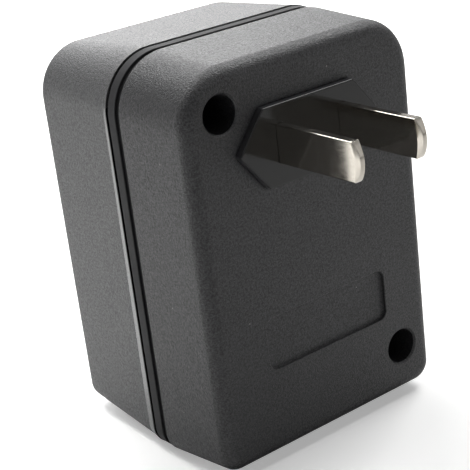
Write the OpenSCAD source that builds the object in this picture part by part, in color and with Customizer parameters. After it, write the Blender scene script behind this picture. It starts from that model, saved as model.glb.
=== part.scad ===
// Plug-in voltage converter: a two-shell housing with flat plug blades on its rear face,
// an output socket for round pins on its front face and a small laminated transformer inside.
// Y = 0 is the plug face that meets the wall outlet, midway between the blades, and the
// blades point to +Y. Z points up and the front face looks to -Y. All lengths are millimetres.

/* [Housing] */
// Width across the shells at their joint
body_w = 48; // [47.4:0.1:51]
// Height of the shells at their joint
body_h = 68.4; // [67:0.1:72]
// From the top of the housing at the joint down to the line through the blades
top_to_blades = 14.8; // [14.2:0.1:16.5]
// Depth of the rear shell, from its flat face to the joint band
rear_depth = 16.1; // [15.4:0.1:18]
// Width of the recessed band between the two shells
band_w = 3.5; // [2.8:0.1:3.8]
// Depth of the front shell, from its rim to its flat face
front_depth = 23.2; // [22.8:0.1:26]
// Thickness of the moulded walls
wall = 2.2; // [1.8:0.1:2.4]
// Radius of the two upper corners at the joint
top_corner_r = 9.6; // [7:0.1:11]
// Radius of the two lower corners at the joint
bottom_corner_r = 4.2; // [3.9:0.1:6]
// Draft of the two sides, in degrees
side_draft = 3.2; // [2:0.1:4]
// Draft of the top, in degrees
top_draft = 3.5; // [2:0.1:4.5]
// Draft of the underside, in degrees
bottom_draft = 5.4; // [3:0.1:6]
// Radius of the edge round the rear face
rear_edge_r = 2.2; // [1.2:0.1:2.6]
// Radius of the edge round the front face
front_edge_r = 2.8; // [1.8:0.1:3]
// Depth of the band below the surface of the shells
band_recess = 0.12; // [0.1:0.01:0.4]
// Width of the moulded groove between the band and the rear shell
groove_w = 1.1; // [0.6:0.05:1.2]
// Depth of that groove below the band
groove_depth = 0.5; // [0.2:0.05:0.6]
// Gap between the band and the rim of the front shell
joint_gap = 0.6; // [0.3:0.05:0.8]
// Length of the tongue that enters the front shell
tongue_l = 2.6; // [1.8:0.1:3.4]

/* [Label panel] */
// Width of the sunk panel on the rear face
panel_w = 25.8; // [20:0.1:30]
// Height of the sunk panel
panel_h = 9.1; // [7:0.1:11]
// From the line through the blades down to the middle of the panel
panel_drop = 32.7; // [30:0.1:34]
// How far the middle of the panel lies to the right of the blades, seen from behind
panel_side = 0.4; // [0:0.1:1]
// Corner radius of the panel
panel_r = 1.8; // [1:0.1:3]
// Depth of the panel
panel_depth = 0.6; // [0.3:0.05:0.9]

/* [Case screws] */
// Bore of the two wells that the case screws sit in
well_d = 6.1; // [5.9:0.1:6.4]
// Depth of the wells
well_depth = 10.4; // [9.6:0.1:11]
// From the side of the housing at the joint to the axis of a well
well_from_side = 7.7; // [7.5:0.1:8.1]
// From the top of the housing at the joint to the axis of the upper well
well_from_top = 7.9; // [7.6:0.1:8.3]
// From the underside of the housing at the joint to the axis of the lower well
well_from_bottom = 9.8; // [9.2:0.1:10]
// Wall round the wells
well_wall = 1.3; // [1:0.1:1.5]
// Diameter of the bosses in the front shell
boss_d = 7; // [6.4:0.1:7.6]
// Thread diameter of the case screws
case_screw_d = 3; // [2.6:0.1:3.2]
// Head diameter of the case screws
case_head_d = 5.5; // [5:0.1:5.7]
// Head height of the case screws
case_head_h = 2; // [1.6:0.1:2.4]
// Length of the case screws under the head
case_screw_l = 16; // [12:0.5:22]

/* [Plug] */
// Distance between the middles of the two blades
blade_spacing = 12.7; // [12.2:0.1:13.2]
// Width of a blade
blade_w = 6.3; // [6:0.1:6.6]
// Thickness of a blade
blade_t = 1.5; // [1.3:0.05:1.7]
// From the plug face to the tip of a blade
blade_reach = 18.1; // [15.5:0.1:18.2]
// Radius of the rounded tip, seen on the broad face
tip_r = 4.3; // [3.6:0.1:8]
// Length of the bevel round the tip
tip_bevel = 0.9; // [0.6:0.1:1.8]
// Length of the six-sided plug block, tip to tip
block_l = 28.8; // [27.5:0.1:28.9]
// Length of its straight upper and lower sides
block_flat = 18.6; // [16:0.1:19]
// Height of the plug block, between its straight sides
block_h = 12.9; // [11.6:0.1:13.2]
// Height of the plug block above the housing
block_rise = 1.2; // [1:0.1:2.4]
// How far the middle of the plug block lies below the middle of the blades
block_drop = 0.3; // [0:0.1:0.6]

/* [Output socket] */
// Distance between the two round pin holes
pin_spacing = 19; // [18.4:0.1:19.4]
// Diameter of a pin hole
pin_hole_d = 4.8; // [4.4:0.1:5]
// Width of the six-sided socket face, tip to tip
socket_l = 30; // [29:0.1:30.4]
// Length of its straight upper and lower sides
socket_flat = 19; // [17:0.1:19.4]
// Height of the socket face, between its straight sides
socket_h = 13; // [12:0.1:13.4]
// Depth of the socket face below the front of the housing
socket_sink = 0.6; // [0.3:0.05:1]

/* [Transformer] */
// Gap between the core and the side walls, where these meet the front wall
core_side_gap = 0.2; // [0.15:0.05:0.8]
// Least gap between the top of the core and the guides of the socket
core_top_gap = 0.24; // [0.2:0.02:0.8]
// Gap between the flanges of the bobbin and the front and rear walls, the core centred
coil_end_gap = 1.55; // [1.4:0.05:2.4]
// Gap between the flanges of the bobbin and the outer limbs of the core
flange_gap = 0.65; // [0.4:0.05:1.2]
// Thickness of the bobbin's walls and flanges
bobbin_wall = 1; // [0.8:0.05:1.1]
// Thickness of the tape over each winding
tape_t = 0.3; // [0.2:0.05:0.4]

/* [Leads] */
// Diameter of an insulated lead
lead_d = 1.4; // [1:0.1:1.6]
// Diameter of the body of the thermal fuse
fuse_d = 3.2; // [2.8:0.1:3.6]
// Length of the body of the thermal fuse
fuse_l = 9; // [8:0.1:10]

/* [Hidden] */

// How finely round shapes are drawn, and how finely the blended corners of the shells are
$fn = 48;
blend_fn = 48;

// Room between pieces that are fitted together, and the run of a cut past a surface
seat_gap = 0.1;
fit_gap = 0.15;
overrun = 1;

// Planes square to the Y axis
rear_y = -block_rise;
groove_y = rear_y - rear_depth;
rim_y = groove_y - band_w;
front_y = rim_y - front_depth;
rear_inner_y = rear_y - wall;
front_inner_y = front_y + wall;

// Edges of the housing at the joint
side_x = body_w / 2;
top_z = top_to_blades;
bottom_z = top_z - body_h;

// Axes of the two case screws, on one diagonal of the housing
well_r = well_d / 2;
well_boss_r = well_r + well_wall;
screw_places = [
    [side_x - well_from_side, top_z - well_from_top],
    [-side_x + well_from_side, bottom_z + well_from_bottom]
];
well_floor_t = 2;
well_floor_y = rear_y - well_depth;
boss_meet_y = well_floor_y - well_floor_t;
well_lip = 0.35;
pilot_share = 0.8;
clearance_hole_share = 1.15;

// Plug block and what holds the blades behind it
block_chamfer = 0.35;
flange_margin = 1.2;
flange_t = 2;
flange_y = rear_inner_y - seat_gap;
block_back_y = flange_y - flange_t;
shoulder_w = 9;
shoulder_l = 2;
shoulder_y = block_back_y - seat_gap;
tip_edge_t = 0.7;
tail_w = 4.4;
tail_l = 4.6;
tail_hole_d = 1.6;
plate_t = 1.5;
plate_y = shoulder_y - shoulder_l - seat_gap;
tail_end_y = plate_y - plate_t - tail_l;
plate_half_h = 5.8;
plate_margin = 2.1;
plate_boss_gap = 3.3;
plate_screw_z = 8;

// Small self-tapping screws of the two plates and the socket
small_screw_d = 2.2;
small_head_d = 4;
small_head_h = 1.3;
small_boss_r = 2.6;
small_screw_l = 5;
slot_w = 0.7;
slot_depth_share = 0.5;

// Places of those screws, measured inwards from the side walls where these meet an end wall
rear_corner_x = side_x - wall - rear_depth * tan(side_draft);
front_corner_x = side_x - wall - (front_depth - wall) * tan(side_draft);
plate_screw_x = rear_corner_x - small_boss_r - plate_boss_gap;
ear_r = 2.3;
ear_gap = 0.9;
ear_x = front_corner_x - ear_r - ear_gap;

// Output socket, measured from the front face inwards
socket_face_y = front_y + socket_sink;
socket_flange_y = front_inner_y + seat_gap;
socket_flange_t = 1.8;
socket_back_y = socket_flange_y + socket_flange_t;
socket_margin = 1.2;
socket_screw_l = socket_flange_t + wall * pilot_share;
guide_r = 4;
guide_l = 3.6;
guide_end_y = socket_back_y + guide_l;
pin_guide_l = 3;
sleeve_outer_r = 2.9;
sleeve_inner_r = 2.05;
sleeve_slit = 0.8;
sleeve_l = 15;
sleeve_y = socket_face_y + pin_guide_l + seat_gap;
sleeve_end_y = sleeve_y + sleeve_l;
lug_w = 3.6;
lug_t = 0.8;
lug_l = 4.6;
collar_r = 3.5;
collar_l = 1;
contact_plate_t = 1.6;
contact_plate_y = sleeve_end_y - contact_plate_t;
contact_plate_half_w = 13.6;
contact_plate_half_h = 3.9;
contact_plate_r = 2;
post_r = 2.6;
post_end_y = contact_plate_y - seat_gap;

// Core of the transformer: E and I pieces cut without waste from one limb width, the widest
// for which the core still clears the side walls, the lower well and the socket above it
core_boss_gap = 1.2;
core_bottom_z = screw_places[1][1] + well_boss_r + core_boss_gap;
limb_by_width = (front_corner_x - core_side_gap) / 3;
limb_by_height = (-guide_r - core_top_gap - core_bottom_z) / 5;
limb_w = min(limb_by_width, limb_by_height);
core_half_w = 3 * limb_w;
core_h = 5 * limb_w;
core_top_z = core_bottom_z + core_h;

// Room for the windings between the limbs, and the stack that leaves room for them at its ends
bobbin_gap = 0.2;
flange_over_tape = 0.15;
turn_gap = 0.05;
winding_build = limb_w - bobbin_gap - bobbin_wall - 2 * turn_gap - tape_t - flange_over_tape
    - flange_gap;
coil_overhang = limb_w - flange_gap;
stack_t = rear_inner_y - front_inner_y - 2 * (coil_overhang + coil_end_gap);
core_shift = 0.6;
core_y = (rear_inner_y + front_inner_y) / 2 - core_shift;
core_rear_y = core_y + stack_t / 2;
core_front_y = core_y - stack_t / 2;
i_gap = 0.05;
window_bottom_z = core_bottom_z + limb_w;
window_top_z = core_top_z - limb_w;

// Bobbin on the middle limb, and the two windings side by side on it
bobbin_bottom_z = window_bottom_z + bobbin_gap;
bobbin_top_z = window_top_z - bobbin_gap;
bobbin_inner_x = limb_w + bobbin_gap;
bobbin_inner_y = stack_t / 2 + bobbin_gap;
bobbin_outer_x = bobbin_inner_x + bobbin_wall;
bobbin_outer_y = bobbin_inner_y + bobbin_wall;
winding_x = bobbin_outer_x + turn_gap + winding_build;
winding_y = bobbin_outer_y + turn_gap + winding_build;
bobbin_flange_x = winding_x + turn_gap + tape_t + flange_over_tape;
bobbin_flange_y = winding_y + turn_gap + tape_t + flange_over_tape;
section_l = (bobbin_top_z - bobbin_bottom_z - 3 * bobbin_wall) / 2;
lower_section_z = bobbin_bottom_z + bobbin_wall;
upper_section_z = lower_section_z + section_l + bobbin_wall;
turn_corner_r = 2.4;

// Terminal pins stand on the upper flange, in front of the core and behind it
pin_block_l = 13;
pin_block_h = 1.6;
pin_block_w = 3;
pin_x = 4;
pin_d = 0.9;
pin_stand = 3;
pin_sink = 1.2;
pin_block_gap = 0.6;
pin_y_offset = stack_t / 2 + pin_block_gap + pin_block_w / 2;
pin_block_z = bobbin_top_z + pin_block_h;
pin_top_z = pin_block_z + pin_stand;

// Ribs of the shells that hold the core
rib_t = 1.6;
stop_x = 2.5 * limb_w;
stop_from_top = 8;
ledge_lap = 5;
finger_w = 3;

// Fuse across the top of the core
fuse_sleeve_wall = 0.3;
fuse_sleeve_gap = 0.15;
fuse_sleeve_r = fuse_d / 2 + fuse_sleeve_gap + fuse_sleeve_wall;
fuse_sleeve_over = 2;
fuse_wire_d = 0.8;
fuse_wire_l = 4;
fuse_z = core_top_z + seat_gap + fuse_sleeve_r;
fuse_from_tail = 1;
fuse_y = tail_end_y - fuse_from_tail - fuse_sleeve_r;
fuse_end_x = fuse_l / 2 + fuse_wire_l;

// Sides of a lead and steps between two points of its route
lead_sides = 8;
lead_steps = 5;

// A flat outline in X and Z, carried from y back towards -Y
module back_from(y, depth) {
    translate([0, y, 0])
        rotate([90, 0, 0])
            linear_extrude(depth) children();
}

// A round bar or bore along Y, from y back towards -Y
module rod_back(x, z, y, depth, r) {
    translate([x, y, z])
        rotate([90, 0, 0])
            cylinder(h = depth, r = r);
}

// The outline of the housing at the joint, drawn in by an inset
module joint_outline(inset) {
    half = side_x - inset;
    top = top_z - inset;
    bottom = bottom_z + inset;
    rt = top_corner_r - inset;
    rb = bottom_corner_r - inset;
    translate([-half, bottom + rb])
        square([2 * half, top - bottom - rt - rb]);
    translate([-half + rt, top - 2 * rt])
        square([2 * (half - rt), 2 * rt]);
    translate([-half + rb, bottom])
        square([2 * (half - rb), 2 * rb]);
    for (side = [-1, 1]) {
        translate([side * (half - rt), top - rt]) circle(rt);
        translate([side * (half - rb), bottom + rb]) circle(rb);
    }
}

// One end corner of a shell: a ring whose round edge blends the wall into the end face
module end_corner(x, z, r, edge) {
    ring = max(r - edge, seat_gap);
    translate([x, 0, z])
        rotate([90, 0, 0])
            rotate_extrude($fn = blend_fn)
                intersection() {
                    translate([ring, 0]) circle(edge, $fn = blend_fn);
                    translate([0, -edge]) square([ring + edge, 2 * edge]);
                }
}

// A solid that tapers from the joint outline at y_rim to an end face with a round edge
module tapered_body(y_rim, y_end, edge, inset) {
    run = abs(y_end - y_rim);
    way = sign(y_end - y_rim);
    half = side_x - inset;
    half_end = half - run * tan(side_draft);
    top = top_z - inset;
    top_end = top - run * tan(top_draft);
    bottom = bottom_z + inset;
    bottom_end = bottom + run * tan(bottom_draft);
    rt = top_corner_r - inset;
    rb = bottom_corner_r - inset;
    rt_end = max(rt - run * tan(side_draft), edge);
    rb_end = max(rb - run * tan(side_draft), edge);
    hull() {
        for (side = [-1, 1]) {
            rim_disc(side * (half - rt), top - rt, y_rim, way, rt);
            rim_disc(side * (half - rb), bottom + rb, y_rim, way, rb);
            translate([0, y_end - way * edge, 0]) {
                end_corner(side * (half_end - rt_end), top_end - rt_end, rt_end, edge);
                end_corner(side * (half_end - rb_end), bottom_end + rb_end, rb_end, edge);
            }
        }
    }
}

// A thin disc at the rim of a shell
rim_disc_t = 0.01;
module rim_disc(x, z, y, way, r) {
    translate([x, y, z])
        rotate([-90 * way, 0, 0])
            cylinder(h = rim_disc_t, r = r, $fn = blend_fn);
}

// A six-sided outline with two tips, let out by a margin
module six_sided(length, flat_length, height, margin) {
    tip = length / 2;
    flat = flat_length / 2;
    side = height / 2;
    slant = sqrt(pow(tip - flat, 2) + pow(side, 2));
    out_tip = tip + margin * slant / side;
    out_flat = flat + margin * (slant - (tip - flat)) / side;
    polygon([
        [out_tip, 0], [out_flat, side + margin], [-out_flat, side + margin],
        [-out_tip, 0], [-out_flat, -side - margin], [out_flat, -side - margin]
    ]);
}

module block_outline(margin) {
    translate([0, -block_drop])
        six_sided(block_l, block_flat, block_h, margin);
}

module socket_outline(margin) {
    six_sided(socket_l, socket_flat, socket_h, margin);
}

// A rectangle with round corners, centred
module round_rect(w, h, r) {
    square([w - 2 * r, h], center = true);
    square([w, h - 2 * r], center = true);
    for (x = [-1, 1]) {
        for (z = [-1, 1]) {
            translate([x * (w / 2 - r), z * (h / 2 - r)]) circle(r);
        }
    }
}

// Rear shell: the drafted box behind the plug, with the joint band and its tongue
module rear_shell() color([0.16, 0.16, 0.17]) {
    difference() {
        union() {
            difference() {
                union() {
                    tapered_body(groove_y - groove_w / 2, rear_y, rear_edge_r, 0);
                    back_from(groove_y + overrun, overrun + band_w - joint_gap)
                        joint_outline(band_recess);
                    back_from(groove_y + overrun, overrun + band_w + tongue_l)
                        joint_outline(wall / 2 + fit_gap);
                }
                back_from(groove_y, groove_w)
                    difference() {
                        joint_outline(-overrun);
                        joint_outline(band_recess + groove_depth);
                    }
                tapered_body(groove_y - overrun, rear_inner_y, inner_edge(rear_edge_r), wall);
                back_from(groove_y + overrun, 2 * overrun + band_w + tongue_l)
                    joint_outline(wall + seat_gap);
            }
            rear_bosses();
            rear_core_ribs();
        }
        for (place = screw_places) {
            rod_back(place[0], place[1], rear_y + overrun, well_depth + overrun, well_r);
            translate([place[0], rear_y, place[1]])
                rotate([90, 0, 0])
                    cylinder(h = well_lip, r1 = well_r + well_lip, r2 = well_r);
            rod_back(place[0], place[1], well_floor_y + overrun, well_floor_t + 2 * overrun,
                case_screw_d * clearance_hole_share / 2);
        }
        for (side = [-1, 1]) {
            rod_back(-side * plate_screw_x, side * plate_screw_z, rear_inner_y,
                rear_inner_y - plate_y + overrun, small_screw_d * pilot_share / 2);
        }
        back_from(rear_y + overrun, wall + 2 * overrun) block_outline(fit_gap);
        translate([-panel_side, 0, -panel_drop])
            back_from(rear_y + overrun, panel_depth + overrun)
                round_rect(panel_w, panel_h, panel_r);
    }
}

function inner_edge(edge) = max(edge - wall, wall / 4);

// Wells for the case screws and bosses for the plug plate, rooted in the rear wall
module rear_bosses() {
    root_y = rear_y - wall / 2;
    for (place = screw_places) {
        rod_back(place[0], place[1], root_y, root_y - boss_meet_y, well_boss_r);
    }
    for (side = [-1, 1]) {
        rod_back(-side * plate_screw_x, side * plate_screw_z, root_y,
            root_y - plate_y - seat_gap, small_boss_r);
    }
}

// Stops against the outer limbs, a ledge under the core and fingers over its top
module core_holders(root_y, stop_y, reach_y, finger_root_x) {
    near_y = max(root_y, stop_y);
    far_y = max(root_y, reach_y);
    stop_h = core_h - stop_from_top - limb_w / 2;
    ledge_z = core_bottom_z - seat_gap - rib_t;
    for (side = [-1, 1]) {
        translate([side * stop_x, 0, core_bottom_z + limb_w / 2 + stop_h / 2])
            back_from(near_y, abs(root_y - stop_y))
                square([rib_t, stop_h], center = true);
        translate([side * (finger_root_x - finger_w / 2), 0, core_top_z + seat_gap + rib_t / 2])
            back_from(far_y, abs(root_y - reach_y))
                square([finger_w, rib_t], center = true);
        translate([side * limb_w - rib_t / 2, 0, 0])
            rotate([90, 0, 90])
                linear_extrude(rib_t)
                    polygon([
                        [root_y, ledge_z], [reach_y, ledge_z],
                        [reach_y, floor_z(reach_y)], [root_y, floor_z(root_y)]
                    ]);
    }
    translate([0, 0, ledge_z + rib_t / 2])
        back_from(far_y, abs(root_y - reach_y))
            square([2 * (core_half_w - rib_t), rib_t], center = true);
}

// Height of the middle of the underside's wall at a place along Y
function floor_z(y) = bottom_z + wall / 2
    + max(y - groove_y, rim_y - y, 0) * tan(bottom_draft);

module rear_core_ribs() {
    core_holders(rear_y - wall / 2, core_rear_y + seat_gap, core_rear_y - ledge_lap,
        rear_corner_x + wall / 2);
}

module front_core_ribs() {
    core_holders(front_y + wall / 2, core_front_y - seat_gap, core_front_y + ledge_lap,
        front_corner_x + wall / 2);
}

// Front shell: the deeper drafted box, with the socket window and the screw bosses
module front_shell() color([0.17, 0.17, 0.18]) {
    difference() {
        union() {
            difference() {
                tapered_body(rim_y, front_y, front_edge_r, 0);
                tapered_body(rim_y, front_inner_y, inner_edge(front_edge_r), wall);
                back_from(rim_y + overrun, tongue_l + overrun + seat_gap)
                    joint_outline(wall / 2);
            }
            front_bosses();
            front_core_ribs();
        }
        for (place = screw_places) {
            rod_back(place[0], place[1], boss_meet_y + overrun,
                case_screw_l - well_floor_t + 2 * overrun, case_screw_d * pilot_share / 2);
        }
        for (side = [-1, 1]) {
            rod_back(side * ear_x, 0, socket_flange_y + overrun,
                socket_screw_l - socket_flange_t + overrun, small_screw_d * pilot_share / 2);
        }
        back_from(front_inner_y + overrun, wall + 2 * overrun) socket_outline(fit_gap);
    }
}

// Bosses that take the case screws, rooted in the front wall
module front_bosses() {
    for (place = screw_places) {
        rod_back(place[0], place[1], boss_meet_y - seat_gap,
            boss_meet_y - seat_gap - front_y - wall / 2, boss_d / 2);
    }
}

// A pan-head self-tapping screw along Y, its head towards +Y or -Y
module pan_screw(x, z, seat_y, head_way, head_d, head_h, thread_d, length) {
    translate([x, seat_y, z])
        rotate([-90 * head_way, 0, 0])
            difference() {
                union() {
                    cylinder(h = head_h * slot_depth_share, r = head_d / 2);
                    translate([0, 0, head_h * slot_depth_share])
                        cylinder(h = head_h * slot_depth_share, r1 = head_d / 2,
                            r2 = head_d / 2 - head_h * slot_depth_share);
                    translate([0, 0, -length + thread_d])
                        cylinder(h = length - thread_d, r = thread_d * pilot_share / 2);
                    translate([0, 0, -length])
                        cylinder(h = thread_d, r1 = 0, r2 = thread_d * pilot_share / 2);
                }
                for (turn = [0, 90]) {
                    rotate([0, 0, turn])
                        translate([-head_d * pilot_share / 2, -slot_w / 2,
                            head_h * slot_depth_share])
                            cube([head_d * pilot_share, slot_w, head_h]);
                }
            }
}

module case_screws() color([0.35, 0.35, 0.36]) {
    for (place = screw_places) {
        pan_screw(place[0], place[1], well_floor_y + seat_gap, 1,
            case_head_d, case_head_h, case_screw_d, case_screw_l);
    }
}

// Plug block: the glossy six-sided pedestal with its flange behind the rear wall
module plug_block() color([0.05, 0.05, 0.055]) {
    slant_x = (block_l - block_flat) / 2;
    slant_turn = atan2(block_h / 2, slant_x);
    slant_mid = (block_l + block_flat) / 4;
    difference() {
        union() {
            back_from(0, -flange_y) block_outline(0);
            back_from(flange_y, flange_t) block_outline(flange_margin);
        }
        for (side = [-1, 1]) {
            blade_slot(side * blade_spacing / 2);
            translate([0, 0, side * block_h / 2 - block_drop]) edge_cut();
            for (up = [-1, 1]) {
                translate([side * slant_mid, 0, up * block_h / 4 - block_drop])
                    rotate([0, side * up * slant_turn, 0]) edge_cut();
            }
        }
    }
}

// A long prism that takes the sharp edge off the plug face
module edge_cut() {
    rotate([45, 0, 0])
        cube([2 * block_l, block_chamfer * sqrt(2), block_chamfer * sqrt(2)], center = true);
}

module blade_slot(x) {
    translate([x, 0, 0])
        back_from(overrun, overrun - block_back_y + overrun)
            square([blade_t + 2 * fit_gap, blade_w + 2 * fit_gap], center = true);
}

// Blade: a flat strip with a bevelled round tip, a shoulder behind the block and a tail
module blade(x) color([0.83, 0.81, 0.78]) {
    tip_centre = blade_reach - tip_r;
    translate([x, 0, 0]) {
        difference() {
            union() {
                blade_strip(shoulder_y - shoulder_l, tip_centre, blade_w);
                blade_strip(shoulder_y - shoulder_l, shoulder_y, shoulder_w);
                blade_strip(tail_end_y, shoulder_y - shoulder_l, tail_w);
                blade_tip(tip_centre);
            }
            translate([0, tail_end_y + tail_w / 2, 0])
                rotate([0, 90, 0])
                    cylinder(h = 2 * blade_t, d = tail_hole_d, center = true);
        }
    }
}

module blade_strip(y_low, y_high, w) {
    back_from(y_high, y_high - y_low) square([blade_t, w], center = true);
}

// The round tip of a blade, which a flat bevel on each side thins towards its edge
module blade_tip(from_y) {
    side = blade_t / 2;
    edge = tip_edge_t / 2;
    bevel_y = blade_reach - tip_bevel;
    intersection() {
        translate([0, blade_reach - tip_r, 0])
            rotate([0, 90, 0])
                cylinder(h = 2 * blade_t, r = tip_r, center = true);
        translate([0, 0, -blade_w / 2])
            linear_extrude(blade_w)
                polygon([
                    [-side, from_y], [side, from_y], [side, bevel_y],
                    [edge, blade_reach], [-edge, blade_reach], [-side, bevel_y]
                ]);
    }
}

module blade_left() { blade(blade_spacing / 2); }

module blade_right() { blade(-blade_spacing / 2); }

// Fibre plate that presses the blades' shoulders against the plug block
module plug_plate() color([0.55, 0.42, 0.28]) {
    half_l = plate_screw_x + small_boss_r;
    shoulder_x = (blade_spacing + blade_t) / 2 + plate_margin;
    difference() {
        back_from(plate_y, plate_t) {
            polygon([
                [-half_l, plate_screw_z], [-half_l, plate_half_h / 3],
                [-shoulder_x, -plate_half_h], [shoulder_x, -plate_half_h],
                [plate_screw_x, -plate_screw_z - small_boss_r],
                [half_l, -plate_screw_z], [half_l, -plate_half_h / 3],
                [shoulder_x, plate_half_h], [-shoulder_x, plate_half_h],
                [-plate_screw_x, plate_screw_z + small_boss_r]
            ]);
            for (side = [-1, 1]) {
                translate([-side * plate_screw_x, side * plate_screw_z]) circle(small_boss_r);
            }
        }
        for (side = [-1, 1]) {
            translate([side * blade_spacing / 2, 0, 0])
                back_from(plate_y + overrun, plate_t + 2 * overrun)
                    square([blade_t + 2 * fit_gap, tail_w + 2 * fit_gap], center = true);
            rod_back(-side * plate_screw_x, side * plate_screw_z, plate_y + overrun,
                plate_t + 2 * overrun, small_screw_d * clearance_hole_share / 2);
        }
        round_the_bosses(plate_y, plate_t, well_boss_r);
    }
}

// Room round the case screws' bosses, taken out of a plate that lies between them
module round_the_bosses(y, depth, r) {
    for (place = screw_places) {
        rod_back(place[0], place[1], y + overrun, depth + 2 * overrun, r + fit_gap);
    }
}

module plug_plate_screws() color([0.72, 0.72, 0.7]) {
    for (side = [-1, 1]) {
        pan_screw(-side * plate_screw_x, side * plate_screw_z, plate_y - plate_t - seat_gap, -1,
            small_head_d, small_head_h, small_screw_d, small_screw_l);
    }
}

// Socket face: the insert in the front window, with two pin holes and contact guides
module socket_face() color([0.1, 0.1, 0.105]) {
    difference() {
        union() {
            back_from(socket_flange_y, socket_flange_y - socket_face_y) socket_outline(0);
            back_from(socket_back_y, socket_flange_t) {
                socket_outline(socket_margin);
                square([2 * ear_x, 2 * ear_r], center = true);
                for (side = [-1, 1]) {
                    translate([side * ear_x, 0]) circle(ear_r);
                }
            }
            for (side = [-1, 1]) {
                rod_back(side * pin_spacing / 2, 0, guide_end_y, guide_l + socket_flange_t,
                    guide_r);
            }
            rod_back(0, 0, post_end_y, post_end_y - socket_flange_y, post_r);
        }
        for (side = [-1, 1]) {
            rod_back(side * pin_spacing / 2, 0, guide_end_y + overrun,
                guide_end_y - socket_face_y + 2 * overrun, pin_hole_d / 2);
            rod_back(side * pin_spacing / 2, 0, guide_end_y + overrun,
                guide_end_y - sleeve_y + overrun + seat_gap, sleeve_outer_r + fit_gap);
            rod_back(side * ear_x, 0, socket_back_y + overrun, socket_flange_t + 2 * overrun,
                small_screw_d * clearance_hole_share / 2);
        }
        rod_back(0, 0, post_end_y + overrun, small_screw_l + overrun,
            small_screw_d * pilot_share / 2);
        round_the_bosses(socket_back_y, socket_flange_t, boss_d / 2);
    }
}

module socket_screws() color([0.72, 0.72, 0.7]) {
    for (side = [-1, 1]) {
        pan_screw(side * ear_x, 0, socket_back_y + seat_gap, 1,
            small_head_d, small_head_h, small_screw_d, socket_screw_l);
    }
}

// Contact: a split spring sleeve for one pin, with a collar and a solder lug
module contact(side) color([0.8, 0.66, 0.36]) {
    x = side * pin_spacing / 2;
    difference() {
        union() {
            rod_back(x, 0, sleeve_end_y, sleeve_l, sleeve_outer_r);
            rod_back(x, 0, contact_plate_y - seat_gap, collar_l, collar_r);
            translate([x, 0, 0])
                back_from(sleeve_end_y + lug_l, lug_l + overrun)
                    square([lug_w, lug_t], center = true);
        }
        rod_back(x, 0, sleeve_end_y - overrun, sleeve_l, sleeve_inner_r);
        translate([x, 0, sleeve_outer_r])
            back_from(contact_plate_y - collar_l - 2 * seat_gap, sleeve_l)
                square([sleeve_slit, 2 * sleeve_outer_r], center = true);
        translate([x, sleeve_end_y + lug_l - lug_w / 2, 0])
            cylinder(h = 2 * lug_w, d = tail_hole_d, center = true);
    }
}

module contact_left() { contact(1); }

module contact_right() { contact(-1); }

// Fibre plate that keeps the contacts in their guides
module contact_plate() color([0.55, 0.42, 0.28]) {
    difference() {
        back_from(contact_plate_y + contact_plate_t, contact_plate_t)
            round_rect(2 * contact_plate_half_w, 2 * contact_plate_half_h, contact_plate_r);
        for (side = [-1, 1]) {
            rod_back(side * pin_spacing / 2, 0, contact_plate_y + contact_plate_t + overrun,
                contact_plate_t + 2 * overrun, sleeve_outer_r + fit_gap);
        }
        rod_back(0, 0, contact_plate_y + contact_plate_t + overrun,
            contact_plate_t + 2 * overrun, small_screw_d * clearance_hole_share / 2);
    }
}

module contact_plate_screw() color([0.72, 0.72, 0.7]) {
    pan_screw(0, 0, contact_plate_y + contact_plate_t + seat_gap, 1,
        small_head_d, small_head_h, small_screw_d, small_screw_l);
}

// E pieces: the back of the core on top, with three limbs that point down
module e_laminations() color([0.45, 0.46, 0.48]) {
    e_bottom = window_bottom_z + i_gap;
    back_from(core_rear_y, stack_t)
        polygon([
            [-core_half_w, core_top_z], [-core_half_w, e_bottom],
            [-core_half_w + limb_w, e_bottom], [-core_half_w + limb_w, window_top_z],
            [-limb_w, window_top_z], [-limb_w, e_bottom],
            [limb_w, e_bottom], [limb_w, window_top_z],
            [core_half_w - limb_w, window_top_z], [core_half_w - limb_w, e_bottom],
            [core_half_w, e_bottom], [core_half_w, core_top_z]
        ]);
}

module i_laminations() color([0.42, 0.43, 0.45]) {
    translate([0, 0, core_bottom_z + limb_w / 2])
        back_from(core_rear_y, stack_t)
            square([2 * core_half_w, limb_w], center = true);
}

// A flat frame in X and Y round the middle limb, from z_low upwards
module limb_ring(z_low, height, inner_x, inner_y, outer_x, outer_y, corner) {
    translate([0, core_y, z_low])
        linear_extrude(height)
            difference() {
                round_rect(2 * outer_x, 2 * outer_y, corner);
                square([2 * inner_x, 2 * inner_y], center = true);
            }
}

// Bobbin: a square tube with three flanges and a raised block for the pins at each end
module bobbin() color([0.86, 0.84, 0.76]) {
    flange_places = [
        bobbin_bottom_z, upper_section_z - bobbin_wall, bobbin_top_z - bobbin_wall
    ];
    difference() {
        union() {
            limb_ring(bobbin_bottom_z, bobbin_top_z - bobbin_bottom_z,
                bobbin_inner_x, bobbin_inner_y, bobbin_outer_x, bobbin_outer_y, bobbin_wall);
            for (z = flange_places) {
                limb_ring(z, bobbin_wall, bobbin_inner_x, bobbin_inner_y,
                    bobbin_flange_x, bobbin_flange_y, bobbin_wall);
            }
            for (end = [-1, 1]) {
                translate([0, core_y + end * pin_y_offset, bobbin_top_z + pin_block_h / 2])
                    cube([pin_block_l, pin_block_w, pin_block_h + 2 * turn_gap], center = true);
            }
        }
        for (place = pin_places()) {
            translate([place[0], place[1], pin_block_z - pin_sink])
                cylinder(h = pin_sink + overrun, d = pin_d + 2 * turn_gap);
        }
    }
}

function pin_places() = [
    for (end = [-1, 1]) for (side = [-1, 1]) [side * pin_x, core_y + end * pin_y_offset]
];

module terminal_pins() color([0.85, 0.84, 0.8]) {
    for (place = pin_places()) {
        translate([place[0], place[1], pin_block_z - pin_sink + turn_gap])
            cylinder(h = pin_stand + pin_sink - turn_gap, d = pin_d);
    }
}

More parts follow.
